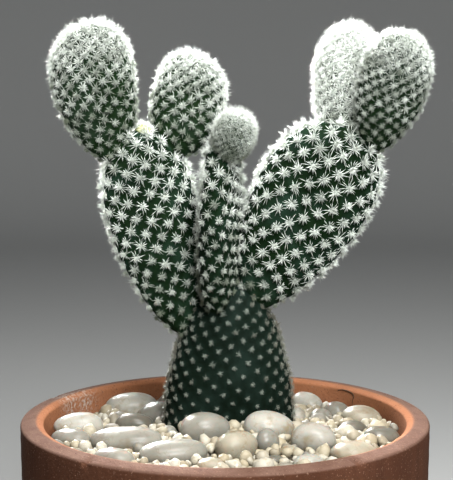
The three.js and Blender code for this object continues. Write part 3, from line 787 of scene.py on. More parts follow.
def grow_tufts(name, pad, tuft, random):
    """The bristles and the wool of every areole that is free to grow, each marked with how
    far out it is along its bristle and with how dark its tuft is, 0.1 + 0.9 (1 - youth),
    from wear and from painted shade towards the foot."""
    is_old = name == "base_pad"
    root, out, up, along = areole_places(pad)
    free = ~is_covered(name, root, out) & (root[:, 2] > SOIL_LINE)
    root, out, up, along = root[free], out[free], up[free], along[free]
    root = root + out * (AREOLE_RISE + waves(root, WAVE_LENGTH, WAVE_HEIGHT))[:, None]
    out = unit(out + random.normal(0, TUFT_TILT, out.shape))
    youth, length = youth_and_length(tuft, along, random)
    if is_old:  # the trunk follows a rule of its own
        youth, length = trunk_youth_and_length(tuft, root, out)
    rays = bristle_points(root, out, up, tuft["rays"], RAY_LEAN, length, tuft["girth"], random)
    heart = bristle_points(root, out, up, tuft["heart"], HEART_LEAN, HEART_LENGTH * length,
                           tuft["girth"], random)
    bristles = (len(rays) + len(heart)) // BRISTLE_CORNERS
    wool = wool_points(root, out, up, tuft["wool"], random)
    wool_faces = repeat_faces(closed_grid_faces(WOOL_ROWS, WOOL_COLUMNS), wool.shape[1],
                              len(root))
    points = np.concatenate([rays, heart, wool.reshape(-1, 3)])
    faces = np.concatenate([repeat_faces(BRISTLE_FACES, BRISTLE_CORNERS, bristles),
                            wool_faces + len(rays) + len(heart)])
    # How dark each tuft is: partly wear, partly painted shade towards the pad's foot.
    wear_and_shade = random.normal(WORN_USUALLY, WORN_STRAY, len(root)) + WEAR_AND_SHADE_BY_AGE * (1 - youth)
    wear_and_shade = np.clip(wear_and_shade, 0, 1)
    corners = (tuft["rays"] * BRISTLE_CORNERS, tuft["heart"] * BRISTLE_CORNERS, wool.shape[1])
    marks = {"wear_and_shade": np.concatenate([np.repeat(wear_and_shade, count) for count in corners]),
             "outwards": np.concatenate([np.tile(BRISTLE_OUTWARDS, bristles),
                                         np.full(wool[..., 0].size, WOOL_OUTWARDS)])}
    make_piece(f"{name}_tufts", points, faces, GREY_BRISTLES if is_old else WHITE_BRISTLES,
               (), marks)


for seed, (name, pad) in enumerate(PADS.items(), FIRST_SEED):
    grow_tufts(name, pad, TUFTS[name], np.random.default_rng(seed))

# %% [markdown]
# ## The pot
#
# The pot is thrown on a wheel and fired without a glaze. Its shape is one closed profile
# carried round the axis. The corners of the profile are worn round, faint rings from the
# thrower's fingers run round the wall, and the lip has lost a few small chips.

# %% Profile of the pot
POT_HEIGHT, RIM_RADIUS, FOOT_RADIUS, WALL = 112.0, 75.0, 68.0, 8.5
FLOOR_THICK, FOOT_RECESS, FOOT_RING_INNER, DRAIN_RADIUS = 9.0, 2.2, 53.0, 8.0
FOOT_RING_SLOPE, FLOOR_INSET = 1.5, 1.0
RIDGE_INSET, RIM_DROP, INNER_RIM_DROP = 5.5, 1.1, 1.4
OUTSIDE_LEVELS = np.linspace(6, 104, 15)
INSIDE_LEVELS = np.linspace(105, 16, 10)


def outer_radius(z):
    """foot + (rim - foot) x (1 - (1 - z / height)^2): the wall flares from the foot."""
    return FOOT_RADIUS + (RIM_RADIUS - FOOT_RADIUS) * (1 - (1 - z / POT_HEIGHT) ** 2)


def pot_profile():
    """Corners of the wall's section as radius, height and how far each is rounded. They
    run from the drainage hole out under the foot, up the outside and down the inside."""
    outside = [(outer_radius(z), z, 0.0) for z in OUTSIDE_LEVELS]
    inside = [(outer_radius(z) - WALL, z, 0.0) for z in INSIDE_LEVELS]
    inner_rim = outer_radius(POT_HEIGHT) - WALL
    inner_foot = outer_radius(FLOOR_THICK) - WALL
    return [
        (DRAIN_RADIUS, FOOT_RECESS, 1.0),
        (FOOT_RING_INNER - FOOT_RING_SLOPE, FOOT_RECESS, 1.5),
        (FOOT_RING_INNER, 0, 0.8),
        (FOOT_RADIUS, 0, 1.6),
        *outside,
        (RIM_RADIUS, POT_HEIGHT - RIM_DROP, 0.9),
        (RIM_RADIUS - RIDGE_INSET, POT_HEIGHT, 1.4),
        (inner_rim, POT_HEIGHT - INNER_RIM_DROP, 0.8),
        *inside,
        (inner_foot - FLOOR_INSET, FLOOR_THICK, 5.0),
        (DRAIN_RADIUS, FLOOR_THICK, 1.2),
    ]


print("the pot's profile has", len(pot_profile()), "corners")

# %% Round the profile's corners
LEAST_ROUNDING, ROOM_SHARE, CURVE_POINTS = 0.05, 0.45, 6
OUTLINE_STEP = 2.2


def lengths(vectors):
    """How long each vector is."""
    return np.linalg.norm(vectors, axis=-1)


def soften(corners):
    """A closed outline with its corners rounded. Each becomes a curve from a start on the
    side before it to an end on the side after it, (1 - t)^2 start + 2 t (1 - t) corner +
    t^2 end, and a sharp corner keeps the first of these points alone. The straight runs
    are then cut into equal steps."""
    corner, rounding = np.array(corners)[:, :2], np.array(corners)[:, 2]
    before, after = np.roll(corner, 1, axis=0) - corner, np.roll(corner, -1, axis=0) - corner
    room = ROOM_SHARE * np.minimum(lengths(before), lengths(after))
    reach = np.minimum(rounding, room)[:, None]
    start, end = corner + unit(before) * reach, corner + unit(after) * reach
    t = np.linspace(0, 1, CURVE_POINTS)[:, None]
    curves = ((1 - t) ** 2 * start[:, None] + 2 * t * (1 - t) * corner[:, None]
              + t * t * end[:, None])
    outline = curves[(reach >= LEAST_ROUNDING) | (np.arange(CURVE_POINTS) == 0)]
    run = np.roll(outline, -1, axis=0) - outline
    steps = np.maximum(1, np.round(lengths(run) / OUTLINE_STEP)).astype(int)
    number = np.repeat(np.arange(len(outline)), steps)
    step = np.arange(len(number)) - np.repeat(np.cumsum(steps) - steps, steps)
    return outline[number] + run[number] * (step / steps[number])[:, None]


POT_OUTLINE = soften(pot_profile())
print("the pot's outline has", len(POT_OUTLINE), "points")

# %% Chips in the lip
# Each chip is its centre, its radius and its depth.
CHIPS = [((-45.2, -58.3, 111.2), 2.3, 1.0), ((43.6, -58.9, 111.0), 2.6, 1.0),
         ((-20.0, -72.0, 111.4), 1.2, 0.4), ((61.0, -43.0, 111.2), 1.3, 0.5),
         ((-66.0, 33.0, 111.5), 1.8, 0.6), ((30.0, 69.0, 111.0), 1.9, 0.7)]
CHIPS_AIM_HEIGHT = 104.0
ROUGHNESS, ROUGH_WAVE = 0.25, [2.1, 1.3, 2.7]


def chipped(points):
    """Points near a chip move towards the middle of the wall, by depth x (1 - the square
    of the distance / radius), with a little waviness so that the break looks rough."""
    wall_middle = ((RIM_RADIUS - WALL / 2) * unit(points * [1, 1, 0])
                   + [0, 0, CHIPS_AIM_HEIGHT])
    inwards = unit(wall_middle - points)
    for centre, radius, depth in CHIPS:
        apart = lengths(points - np.array(centre)) / radius
        apart = apart * (1 + ROUGHNESS * np.sin(points @ ROUGH_WAVE))
        points = points + inwards * (depth * np.clip(1 - apart ** 2, 0, 1))[:, None]
    return points


print("the lip has", len(CHIPS), "chips")

# %% Turn the pot
POT_COLUMNS = 430
RING_HEIGHT, RING_SPACING, RING_SWAY = 0.05, 3.4, 0.6
OUT_OF_ROUND, OUT_OF_ROUND_TURN, WALL_INSET = 0.05, 0.5, 0.1
FLOOR_FADE = 8.0


def turn_pot():
    """The outline carried round the axis. The radius swells in and out by faint rings,
    ring height x sin(2 pi z / spacing + 0.6 sin 2 angle), and by a slow wave that makes
    the pot slightly out of round, 0.05 sin(3 angle + 0.5). Neither reaches the floor."""
    angle = np.linspace(0, 2 * np.pi, POT_COLUMNS, endpoint=False)
    radius, height = POT_OUTLINE[:, 0][:, None], POT_OUTLINE[:, 1][:, None]
    on_wall = np.clip((radius - FOOT_RING_INNER) / FLOOR_FADE, 0, 1)
    rings = RING_HEIGHT * np.sin(2 * np.pi * height / RING_SPACING
                                 + RING_SWAY * np.sin(2 * angle))
    sway = OUT_OF_ROUND * np.sin(3 * angle + OUT_OF_ROUND_TURN)
    radius = radius + on_wall * (rings + sway - WALL_INSET)
    points = np.stack([radius * np.cos(angle), radius * np.sin(angle),
                       np.broadcast_to(height, radius.shape)], -1).reshape(-1, 3)
    return chipped(points)


def ring_faces(rows, columns):
    """Two triangles for every four neighbouring points of a grid that wraps round both
    ways, as a ring's does."""
    row, column = np.meshgrid(np.arange(rows), np.arange(columns), indexing="ij")
    next_row, next_column = (row + 1) % rows, (column + 1) % columns
    a, b = row * columns + column, row * columns + next_column
    c, d = next_row * columns + next_column, next_row * columns + column
    return np.stack([a, b, c, a, c, d], -1).reshape(-1, 3)


# %% [markdown]
# ## Fired clay
# Terracotta is never one colour: iron makes orange clouds, grog shows as pale and dark
# specks, and water leaves faint streaks down the wall and a crust of white lime where it
# dries inside the lip. The outside is painted darker, as painted shade, and the inside
# above the gravel and the lip are painted paler than it, as painted light. Each mesh point
# says which it is.

# %% Finish of the pot
def clay_finish():
    """Clay in painted shade outside, with streaks, in painted light inside and on the lip,
    then specks, pits and lime.
    """
    finish = Finish("terracotta", roughness=0.92, specular=0.05)
    # The outside is darkened as painted shade; real water streaks lie over it.
    shaded_streaked_clay = finish.clouds((0.054, 0.0205, 0.011), (0.074, 0.030, 0.0165), 0.022)["Color"]
    shaded_streaked_clay = finish.clouds(shaded_streaked_clay, (0.045, 0.018, 0.010), 0.004, shift=-0.25, contrast=2.0,
                         where=finish.stretched((1.0, 1.0, 0.06)))["Color"]
    # The inside above the gravel (dry) and the lip are paler as painted light.
    dry = finish.clouds((0.21, 0.082, 0.038), (0.27, 0.112, 0.056), 0.016)["Color"]
    lit_lip_clay = finish.clouds((0.080, 0.041, 0.029), (0.118, 0.068, 0.050), 0.006)["Color"]
    clay = finish.mix(finish.mark("lip"), finish.mix(finish.mark("inside"), shaded_streaked_clay, dry), lit_lip_clay)
    grains = finish.clouds(clay, (0.22, 0.13, 0.09), 0.0006, shift=-1.45, contrast=6.5,
                           detail=1.0)["Color"]
    pits = finish.clouds(grains, (0.045, 0.022, 0.015), 0.0008, shift=-1.45, contrast=6.5,
                         detail=1.0, where=finish.stretched((1.1, 0.9, 1.0)))["Color"]
    crust = finish.clouds((0, 0, 0), (1, 1, 1), 0.0011, shift=-0.25, contrast=4.0)["Mask"]
    lime = finish.node("ShaderNodeMath", operation="MULTIPLY")
    finish.link(finish.mark("lime"), lime.inputs[0])
    finish.link(crust, lime.inputs[1])
    finish.colour(finish.mix(lime.outputs[0], pits, (0.36, 0.32, 0.28)))
    finish.bump([(0.006, 0.0002), (0.0011, 0.00022), (0.0004, 0.00008)])
    return finish.material


# %% Mark the clay and make the pot
# Each lime spot is its centre and its reach.
LIME_SPOTS = [((-59.5, 29.0, 109.5), 6.0), ((-54.5, 37.0, 108.0), 5.0)]
LIP_HEIGHT, LIP_DEPTH = 1.9, 6.4
LIP_HEIGHT_FADE, LIP_DEPTH_FADE, INSIDE_FADE = 0.5, 0.8, 1.0


def make_pot():
    """The turned pot. Its points are marked for lime, exp(-(distance / reach)^2) round a
    spot, for the inside, deeper in than half the wall, and for the top of the lip."""
    points = turn_pot()
    lime = np.zeros(len(points))
    for centre, reach in LIME_SPOTS:
        lime = np.maximum(lime, np.exp(-(lengths(points - np.array(centre)) / reach) ** 2))
    height = points[:, 2]
    depth = outer_radius(height) - lengths(points[:, :2])
    # The lip and inside marks pick the clay in painted light, the outside painted shade.
    lip = (np.clip((height - POT_HEIGHT + LIP_HEIGHT) / LIP_HEIGHT_FADE, 0, 1)
           * np.clip((LIP_DEPTH - depth) / LIP_DEPTH_FADE, 0, 1))
    inside = np.clip((depth - WALL / 2) / INSIDE_FADE, 0, 1)
    make_piece("pot_clay", points, ring_faces(len(POT_OUTLINE), POT_COLUMNS), clay_finish(),
               ["pot"], {"lime": lime, "inside": inside, "lip": lip})


make_pot()

# %% [markdown]
# ## A dry rootlet on the wall
#
# One hair root has dried on the inner wall, just below the rim. It is a tube: a round
# profile carried along a path. The path has a few listed points, each of which is moved
# onto the wall, and the tube tapers to a point at both ends.

# %% Path of the rootlet
ROOTLET = [(44.9, 49.1, 109.3), (45.8, 48.2, 110.2), (47.0, 47.0, 110.6), (48.8, 45.0, 110.5),
           (50.6, 43.1, 110.0), (51.3, 42.4, 108.9), (50.9, 42.9, 107.6), (50.6, 43.2, 105.0)]
ROOTLET_RINGS, ROOTLET_OFF_WALL = 36, 0.1


def rootlet_path():
    """The listed points moved onto the inner wall, joined by straight steps and smoothed
    once: each place is (before + 2 here + after) / 4."""
    path = np.array(ROOTLET)
    wall = outer_radius(path[:, 2:]) - WALL
    path[:, :2] = unit(path[:, :2]) * (wall - ROOTLET_OFF_WALL)
    steps = np.linspace(0, len(path) - 1, ROOTLET_RINGS)
    path = np.stack([np.interp(steps, np.arange(len(path)), path[:, k]) for k in range(3)], -1)
    path[1:-1] = (path[:-2] + 2 * path[1:-1] + path[2:]) / 4
    return path


ROOTLET_PATH = rootlet_path()
print("the rootlet is", round(lengths(np.diff(ROOTLET_PATH, axis=0)).sum(), 1), "mm long")

# %% Lay the rootlet
ROOTLET_GIRTH, ROOTLET_SIDES, ROOTLET_TAPER = 0.55, 7, 0.05

def make_rootlet():
    """Rings of cos(angle) aside + sin(angle) other round the path, half the girth wide
    times the square root of sin(share x pi), with the path's ends to close them."""
    path = ROOTLET_PATH
    ahead = unit(np.gradient(path, axis=0))
    aside = unit(np.cross(ahead, path * [1, 1, 0]))
    other = np.cross(ahead, aside)
    share = np.linspace(0, np.pi, ROOTLET_RINGS)
    taper = np.sin(np.clip(share, ROOTLET_TAPER, np.pi - ROOTLET_TAPER))
    thick = ROOTLET_GIRTH / 2 * np.sqrt(taper)
    angle = 2 * np.pi * np.arange(ROOTLET_SIDES) / ROOTLET_SIDES
    rings = path[:, None] + thick[:, None, None] * (
        np.cos(angle)[:, None] * aside[:, None] + np.sin(angle)[:, None] * other[:, None])
    points = np.concatenate([path[:1], rings.reshape(-1, 3), path[-1:]])
    finish = Finish("dry rootlet", roughness=0.9, specular=0.1)
    finish.colour(finish.clouds((0.035, 0.018, 0.010), (0.07, 0.040, 0.024), 0.002)["Color"])
    make_piece("rootlet", points, closed_grid_faces(ROOTLET_RINGS, ROOTLET_SIDES),
               finish.material)


make_rootlet()

# %% [markdown]
# ## The pebbles
#
# The pebbles are tumbled quartz: white, cream and grey, with a polish that catches the
# light and faint veins inside. A vein is where a noise comes close to its middle value,
# which it does along thin winding lines.

# %% Finishes of the pebbles
VEIN_PLACE, VEIN_SCALE, VEIN_WIDTH, VEIN_STRENGTH = (1.0, 0.55, 1.6), 160.0, 0.012, 0.45
INNER_GLOW, INNER_DEPTH = 0.25, 0.002


def pebble_finish(name, body, cloud, stain, roughness):
    """Two soft tones, brown stains in a few places, and thin dark veins whose strength is
    0.45 x (1 - |noise - middle| / width)."""
    finish = Finish(name, roughness=roughness, specular=0.16)
    tones = finish.clouds(body, cloud, 0.009, contrast=2.4, detail=4.0)["Color"]
    stained = finish.clouds(tones, stain, 0.006, shift=-0.75, contrast=4.5)["Color"]
    noise = finish.node("ShaderNodeTexNoise", Scale=VEIN_SCALE, Detail=2.0)
    finish.link(finish.stretched(VEIN_PLACE), noise.inputs["Vector"])
    off = finish.node("ShaderNodeMath", operation="SUBTRACT")
    off.inputs[1].default_value = NOISE_MIDDLE
    size = finish.node("ShaderNodeMath", operation="ABSOLUTE")
    vein = finish.node("ShaderNodeMapRange", From_Max=VEIN_WIDTH, To_Min=VEIN_STRENGTH,
                       To_Max=0.0)
    finish.link(noise.outputs["Fac"], off.inputs[0])
    finish.link(off.outputs[0], size.inputs[0])
    finish.link(size.outputs[0], vein.inputs["Value"])
    finish.colour(finish.mix(vein.outputs["Result"], stained, stain))
    finish.shader.inputs["Subsurface Weight"].default_value = INNER_GLOW
    finish.shader.inputs["Subsurface Scale"].default_value = INNER_DEPTH
    finish.bump([(0.005, 0.00025), (0.0012, 0.00003)])
    return finish.material


PEBBLE_FINISHES = {
    "white": pebble_finish("white pebble", (0.31, 0.296, 0.258), (0.215, 0.203, 0.174),
                           (0.17, 0.13, 0.075), 0.3),
    "cream": pebble_finish("cream pebble", (0.255, 0.229, 0.175), (0.18, 0.156, 0.116),
                           (0.15, 0.105, 0.056), 0.38),
    "pale_grey": pebble_finish("pale grey pebble", (0.20, 0.189, 0.16), (0.13, 0.123, 0.104),
                               (0.11, 0.088, 0.055), 0.28),
    "grey": pebble_finish("grey pebble", (0.115, 0.107, 0.087), (0.066, 0.061, 0.049),
                          (0.07, 0.05, 0.03), 0.28),
}
print("pebble finishes:", list(PEBBLE_FINISHES))

# %% Which pebble wears which finish
PEBBLE_NUMBERS = {
    "white": (1, 3, 4, 12, 14, 20, 22, 26, 28, 31, 34),
    "cream": (10, 11, 15, 17, 24, 30),
    "pale_grey": (2, 6, 7, 8, 9, 13, 18, 19, 23, 27, 32),
    # Pebbles 5, 16 and 21 take the grey finish as painted shade where the pads' shadow falls.
    "grey": (5, 16, 21, 25, 29, 33),
}
FINISH_OF = {number: PEBBLE_FINISHES[name]
             for name, numbers in PEBBLE_NUMBERS.items() for number in numbers}
PEBBLES = sorted(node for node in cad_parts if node.startswith("pebble_"))
print(len(PEBBLES), "pebbles, with a finish each for", len(FINISH_OF))

# %% [markdown]
# ## The pebbles' shape
#
# The solid model holds each pebble as forty-two corners. A smooth stone follows them when
# its radius in any direction is the average of the corners' distances, with the corners
# nearest that direction counting most. Averages pull a long stone towards a ball, so the
# corners are first squeezed to a ball, and the smooth stone is stretched back.

# %% Shape of a pebble
PEBBLE_ROWS, PEBBLE_COLUMNS = 30, 44
CORNER_PULL = 12.0
CORNER_DIGITS = 2
DENT, DENT_LENGTH, DENT_SHIFT = 0.022, 2.6, 0.7


def solid_corners(node):
    """The separate corners of a solid in the frame, in millimetres. Its triangles are
    loose, so each corner is there several times and is kept once."""
    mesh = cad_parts[node].data
    places = np.empty(len(mesh.vertices) * 3, np.float32)
    mesh.vertices.foreach_get("co", places)
    places = places.reshape(-1, 3).astype(float) / MM
    return np.unique(np.round(places, CORNER_DIGITS), axis=0)


def smooth_pebble(corners, number):
    """The corners are squeezed to a ball of radius 1 by their own spread. There, in any
    direction d, radius(d) = sum of w_i r_i / sum of w_i with w_i = exp(pull (d . d_i - 1)).
    A few shallow dents follow sines along slanted directions, shifted by the pebble's
    number so that no two are alike, and the result is stretched back."""
    middle = corners.mean(0)
    spread, axes = np.linalg.eigh(np.cov((corners - middle).T))
    stretch = axes * np.sqrt(3 * spread) @ axes.T
    ball = (corners - middle) @ np.linalg.inv(stretch)
    far = np.linalg.norm(ball, axis=-1)
    ways = on_sphere(*closed_grid(PEBBLE_ROWS, PEBBLE_COLUMNS))
    weight = np.exp(CORNER_PULL * (ways @ (ball / far[:, None]).T - 1))
    radius = weight @ far / weight.sum(1)
    radius = radius * (1 - DENT + waves(ways + DENT_SHIFT * number, DENT_LENGTH, DENT))
    return middle + (ways * radius[:, None]) @ stretch


print(PEBBLES[0], "has", len(solid_corners(PEBBLES[0])), "corners")

# %% Make the pebbles
PEBBLE_FACES = closed_grid_faces(PEBBLE_ROWS, PEBBLE_COLUMNS)
for node in PEBBLES:
    number = int(node.removeprefix("pebble_"))
    make_piece(f"{node}_stone", smooth_pebble(solid_corners(node), number), PEBBLE_FACES,
               FINISH_OF[number], [node])

# %% [markdown]
# ## The gravel
#
# Cream gravel fills the gaps between the pebbles. It lies on a honeycomb whose places are
# moved a little at random, which spreads the small stones evenly without a pattern that
# shows, and only where no pebble covers it. Below it is an uneven floor of fines.

# %% Height of the bed
BED_LEVEL, BED_SLOPE = 102.0, -0.04
HEAP_X, HEAP_Y, HEAP_HEIGHT, HEAP_REACH = 5.0, -8.0, 3.5, 22.0
BED_RADIUS = 65.6


def bed_height(x, y):
    """level + slope x y + a low heap in front of the trunk, height x exp(-(distance /
    reach)^2)."""
    away = ((x - HEAP_X) ** 2 + (y - HEAP_Y) ** 2) / HEAP_REACH ** 2
    return BED_LEVEL + BED_SLOPE * y + HEAP_HEIGHT * np.exp(-away)


print("the bed is", round(float(bed_height(HEAP_X, HEAP_Y)), 1), "mm high at its heap")

# %% Places for the gravel
HONEYCOMB_STEPS, PLACE_STRAY = 26, 0.7
SIZE_SHAPE, SIZE_SCALE, LEAST_SIZE = 5.0, 0.17, 0.8
TRUNK_CONTACT = 1.0


def is_off_oval(x, y, middle, half, clearance):
    """Which places lie outside an oval: the length of (x, y) measured in half widths, from
    its middle, is more than the clearance."""
    return np.hypot((x - middle[0]) / half[0], (y - middle[1]) / half[1]) > clearance


def gravel_places(random, spacing, filled, clearance):
    """The middle of each small stone, on a honeycomb with every place moved at random.
    Only a share of the places is filled, and none nearer a pebble than the clearance."""
    steps = np.arange(-HONEYCOMB_STEPS, HONEYCOMB_STEPS + 1)
    column, row = np.meshgrid(steps, steps)
    x = spacing * (column + 0.5 * (row % 2)).ravel()
    y = spacing * math.sqrt(0.75) * row.ravel()
    x = x + random.uniform(-PLACE_STRAY, PLACE_STRAY, x.size)
    y = y + random.uniform(-PLACE_STRAY, PLACE_STRAY, y.size)
    size = random.gamma(SIZE_SHAPE, SIZE_SCALE, x.size) + LEAST_SIZE
    keep = (np.hypot(x, y) < BED_RADIUS - size) & (random.random(x.size) < filled)
    for node in PEBBLES:
        low, high = (np.array(corner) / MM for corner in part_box(node))
        keep &= is_off_oval(x, y, (low + high) / 2, (high - low) / 2, clearance)
    trunk = PADS["base_pad"]
    half = (trunk["width"] / 2 - TRUNK_CONTACT, trunk["thick"] / 2 - TRUNK_CONTACT)
    keep &= is_off_oval(x, y, trunk["foot"], half, 1.0)
    return x[keep], y[keep], size[keep]


# %% Finish of the gravel
GRAVEL_TONES = [(0.0, (0.24, 0.20, 0.13)), (0.3, (0.29, 0.258, 0.19)),
                (0.55, (0.325, 0.302, 0.25)), (0.8, (0.20, 0.165, 0.108)),
                (1.0, (0.13, 0.124, 0.108))]


def gravel_finish():
    """Each stone has its own tone, from cream and tan to white and grey."""
    finish = Finish("gravel", roughness=0.6, specular=0.4)
    ramp = finish.node("ShaderNodeValToRGB")
    finish.link(finish.mark("tone"), ramp.inputs["Fac"])
    ramp.color_ramp.elements.remove(ramp.color_ramp.elements[1])
    for place, colour in GRAVEL_TONES:
        ramp.color_ramp.elements.new(place).color = (*colour, 1)
    mottled = finish.clouds(ramp.outputs["Color"], (0.22, 0.175, 0.112), 0.0016, shift=-0.6,
                            contrast=3.5)
    finish.colour(mottled["Color"])
    finish.bump([(0.0015, 0.0002), (0.0004, 0.00005)])
    return finish.material


GRAVEL = gravel_finish()
print(GRAVEL.name, "has", len(GRAVEL_TONES), "tones")


# %% Shapes of the gravel stones
GRAVEL_ROWS, GRAVEL_COLUMNS = 4, 8
GRAVEL_BALL = on_sphere(*closed_grid(GRAVEL_ROWS, GRAVEL_COLUMNS))
WIDTHS, PHASES = (0.7, 1.15), (0, 6.28)
GRAVEL_DENT, GRAVEL_DENT_RATE = 0.14, 2.6


def gravel_shapes(count, random):
    """Small stones round the origin. Each is a ball with its own three widths, dented by
    0.14 sin(2.6 x + a) along every axis and turned at random."""
    shape = GRAVEL_BALL * random.uniform(*WIDTHS, (count, 1, 3))
    phase = random.uniform(*PHASES, (count, 1, 3))
    dents = np.sin(GRAVEL_DENT_RATE * GRAVEL_BALL + phase).sum(-1, keepdims=True)
    shape = shape * (1 + GRAVEL_DENT * dents)
    axes, _ = np.linalg.qr(random.normal(size=(count, 3, 3)))
    axes = axes * np.sign(np.linalg.det(axes))[:, None, None]
    return np.einsum("nij,nkj->nki", axes, shape)


print("a gravel stone has", len(closed_grid_faces(GRAVEL_ROWS, GRAVEL_COLUMNS)), "triangles")


# %% Lay the gravel
GRAVEL_LAYERS = [
    dict(spacing=3.0, filled=1.0, clearance=0.86, rise=0.0, larger=0.0),
    dict(spacing=3.9, filled=0.75, clearance=1.0, rise=2.3, larger=0.0),
    dict(spacing=6.6, filled=0.5, clearance=1.16, rise=2.3, larger=1.0),
]
LIFTS, SIZE_LIFT = (-0.2, 0.9), 0.35
GRAVEL_SEED = 7


def lay_gravel(random):
    """Two layers of small stones and a scatter of larger ones, each stone at the height of
    the bed + 0.35 x its size + its layer's rise + a little at random."""
    layers = [gravel_places(random, layer["spacing"], layer["filled"], layer["clearance"])
              for layer in GRAVEL_LAYERS]
    x, y, size = (np.concatenate(numbers) for numbers in zip(*layers))
    counts = [len(places[0]) for places in layers]
    rise = np.repeat([layer["rise"] for layer in GRAVEL_LAYERS], counts)
    size = size + np.repeat([layer["larger"] for layer in GRAVEL_LAYERS], counts)
    shape = gravel_shapes(len(x), random) * size[:, None, None]
    lift = random.uniform(*LIFTS, len(x)) + rise
    middle = np.stack([x, y, bed_height(x, y) + SIZE_LIFT * size + lift], -1)
    points = (middle[:, None] + shape).reshape(-1, 3)
    faces = repeat_faces(closed_grid_faces(GRAVEL_ROWS, GRAVEL_COLUMNS), len(GRAVEL_BALL),
                         len(x))
    tone = np.repeat(random.random(len(x)), len(GRAVEL_BALL))
    make_piece("gravel", points, faces, GRAVEL, ["gravel_bed"],
               {"tone": tone})


lay_gravel(np.random.default_rng(GRAVEL_SEED))

# %% [markdown]
# ## The floor of fines and the soil
#
# Between the gravel stones shows a darker floor of crumbs and dust, an uneven disc. The
# potting soil below it is hidden, except through the hole in the foot, so it keeps its
# solid and is only given a finish.

# %% Finish of the fines and the soil
def earth_finish(name, dark, light, size):
    """Sharp clouds of a dark and a light crumb colour, and a rough surface."""
    finish = Finish(name, roughness=0.95, specular=0.15)
    finish.colour(finish.clouds(dark, light, size, contrast=4.0, detail=5.0)["Color"])
    finish.bump([(0.002, 0.0006), (0.0006, 0.0002)])
    return finish.material


FINES = earth_finish("fines", (0.07, 0.05, 0.03), (0.20, 0.16, 0.10), 0.0018)
SOIL = earth_finish("soil", (0.02, 0.014, 0.009), (0.09, 0.06, 0.04), 0.003)
print("earth finishes:", FINES.name, SOIL.name)

# %% Lay the fines and dress the soil
FINES_ROWS, FINES_COLUMNS, FINES_BOTTOM = 40, 150, 96.3
FINES_DROP, FINES_WAVE_LENGTH, FINES_WAVE_HEIGHT = 0.7, 5.0, 0.35


def lay_fines():
    """A closed disc: rings from the middle of its flat bottom out to the wall, and back
    over the uneven top, bed height - 0.7 + waves."""
    half = FINES_ROWS // 2
    radius = np.concatenate([np.linspace(0, BED_RADIUS, half + 1)[1:],
                             np.linspace(BED_RADIUS, 0, half + 1)[:-1]])
    angle = np.linspace(0, 2 * np.pi, FINES_COLUMNS, endpoint=False)
    x, y = radius[:, None] * np.cos(angle), radius[:, None] * np.sin(angle)
    top = bed_height(x, y) - FINES_DROP
    top = top + waves(np.stack([x, y, top], -1), FINES_WAVE_LENGTH, FINES_WAVE_HEIGHT)
    z = np.where(np.arange(len(radius))[:, None] < half, FINES_BOTTOM, top)
    points = np.stack([x, y, z], -1).reshape(-1, 3)
    ends = np.array([[0, 0, FINES_BOTTOM], [0, 0, bed_height(0.0, 0.0) - FINES_DROP]])
    points = np.concatenate([ends[:1], points, ends[1:]])
    make_piece("fines", points, closed_grid_faces(len(radius), FINES_COLUMNS), FINES,
               ["gravel_bed"])


lay_fines()
soil_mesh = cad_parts["soil"].data
soil_mesh.materials.clear()
soil_mesh.materials.append(SOIL)

# %% [markdown]
# ## Floor and wall
#
# The plant stands on a plain pale floor that curves up into a plain wall on every side,
# so no line shows behind it.

# %% Floor and wall
FLOOR_FLAT, FLOOR_EDGE, WALL_TOP, WALL_CURVE = 1300.0, 2600.0, 2600.0, 2.5
DISH_ROWS, DISH_COLUMNS = 40, 96
BACKDROP_COLOUR = (0.46, 0.46, 0.455, 1)


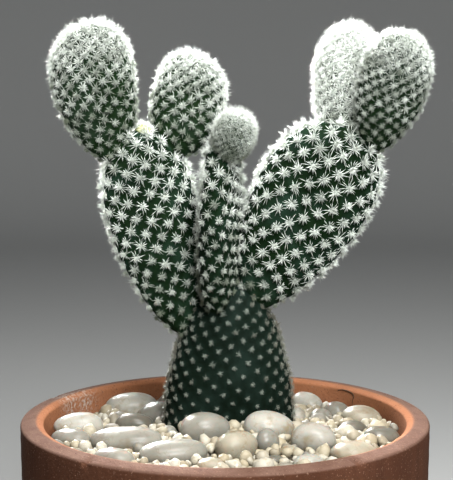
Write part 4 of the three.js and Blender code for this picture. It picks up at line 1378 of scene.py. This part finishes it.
def make_backdrop():
    """A dish: flat to FLOOR_FLAT, then height = top x (share of the way out) ^ 2.5."""
    radius = np.linspace(FLOOR_EDGE / DISH_ROWS, FLOOR_EDGE, DISH_ROWS)
    share = np.clip((radius - FLOOR_FLAT) / (FLOOR_EDGE - FLOOR_FLAT), 0, 1)
    height = WALL_TOP * share ** WALL_CURVE
    angle = np.linspace(0, 2 * np.pi, DISH_COLUMNS, endpoint=False)
    points = np.stack([np.outer(radius, np.cos(angle)), np.outer(radius, np.sin(angle)),
                       np.repeat(height[:, None], DISH_COLUMNS, 1)], -1).reshape(-1, 3)
    points = np.concatenate([[[0, 0, 0]], points])
    faces = closed_grid_faces(DISH_ROWS, DISH_COLUMNS)
    faces = faces[faces.max(1) < len(points)][:, ::-1]
    mesh = bpy.data.meshes.new("backdrop")
    mesh.from_pydata((points * MM).tolist(), [], faces.tolist())
    mesh.polygons.foreach_set("use_smooth", np.ones(len(faces), bool))
    finish = Finish("backdrop", roughness=0.9, specular=0.1)
    finish.shader.inputs["Base Color"].default_value = BACKDROP_COLOUR
    mesh.materials.append(finish.material)
    backdrop = bpy.data.objects.new("backdrop", mesh)
    bpy.context.scene.collection.objects.link(backdrop)
    print("backdrop:", len(faces), "triangles")


make_backdrop()

# %% [markdown]
# ## Lamps and air
#
# A lamp overhead lights the pads' tops more than the pot, a large one high in front
# reaches the faces, and a narrow one behind lights the fringe of bristles. The air adds a
# little cool light from all sides.

# %% Lamps
LAMPS = {
    "main lamp": dict(place=(50, -120, 560), aim=(0, 0, 200), size=170, power=3.3,
                      colour=(1.0, 0.995, 0.98), spread=180),
    "front lamp": dict(place=(200, -640, 700), aim=(0, 0, 190), size=340, power=15.5,
                       colour=(0.98, 1.0, 0.99), spread=180),
    "fringe lamp": dict(place=(-150, 430, 420), aim=(0, 0, 250), size=160, power=1.7,
                        colour=(1.0, 1.0, 1.0), spread=26),
}


def hang_lamp(name, place, aim, size, power, colour, spread):
    """A square lamp at a place, turned to shine at a point, all in millimetres. Its light
    leaves within a cone that is spread degrees wide."""
    data = bpy.data.lights.new(name, "AREA")
    data.size = size * MM
    data.energy = power
    data.color = colour
    data.spread = math.radians(spread)
    lamp = bpy.data.objects.new(name, data)
    lamp.location = [number * MM for number in place]
    towards = np.subtract(aim, place)
    heading = math.atan2(towards[0], -towards[1])
    tilt = math.acos(-towards[2] / np.linalg.norm(towards))
    lamp.rotation_euler = (tilt, 0, math.pi + heading)
    bpy.context.scene.collection.objects.link(lamp)


for name, lamp in LAMPS.items():
    hang_lamp(name, **lamp)
print("lamps:", [lamp.name for lamp in bpy.data.lights])

# %% Air
AIR_COLOUR, AIR_STRENGTH = (0.9, 0.95, 1.0, 1), 0.10
air = bpy.data.worlds.new("air")
air.use_nodes = True
background = air.node_tree.nodes["Background"]
background.inputs["Color"].default_value = AIR_COLOUR
background.inputs["Strength"].default_value = AIR_STRENGTH
bpy.context.scene.world = air
bpy.context.scene.view_settings.view_transform = "Standard"
print("air:", AIR_STRENGTH)
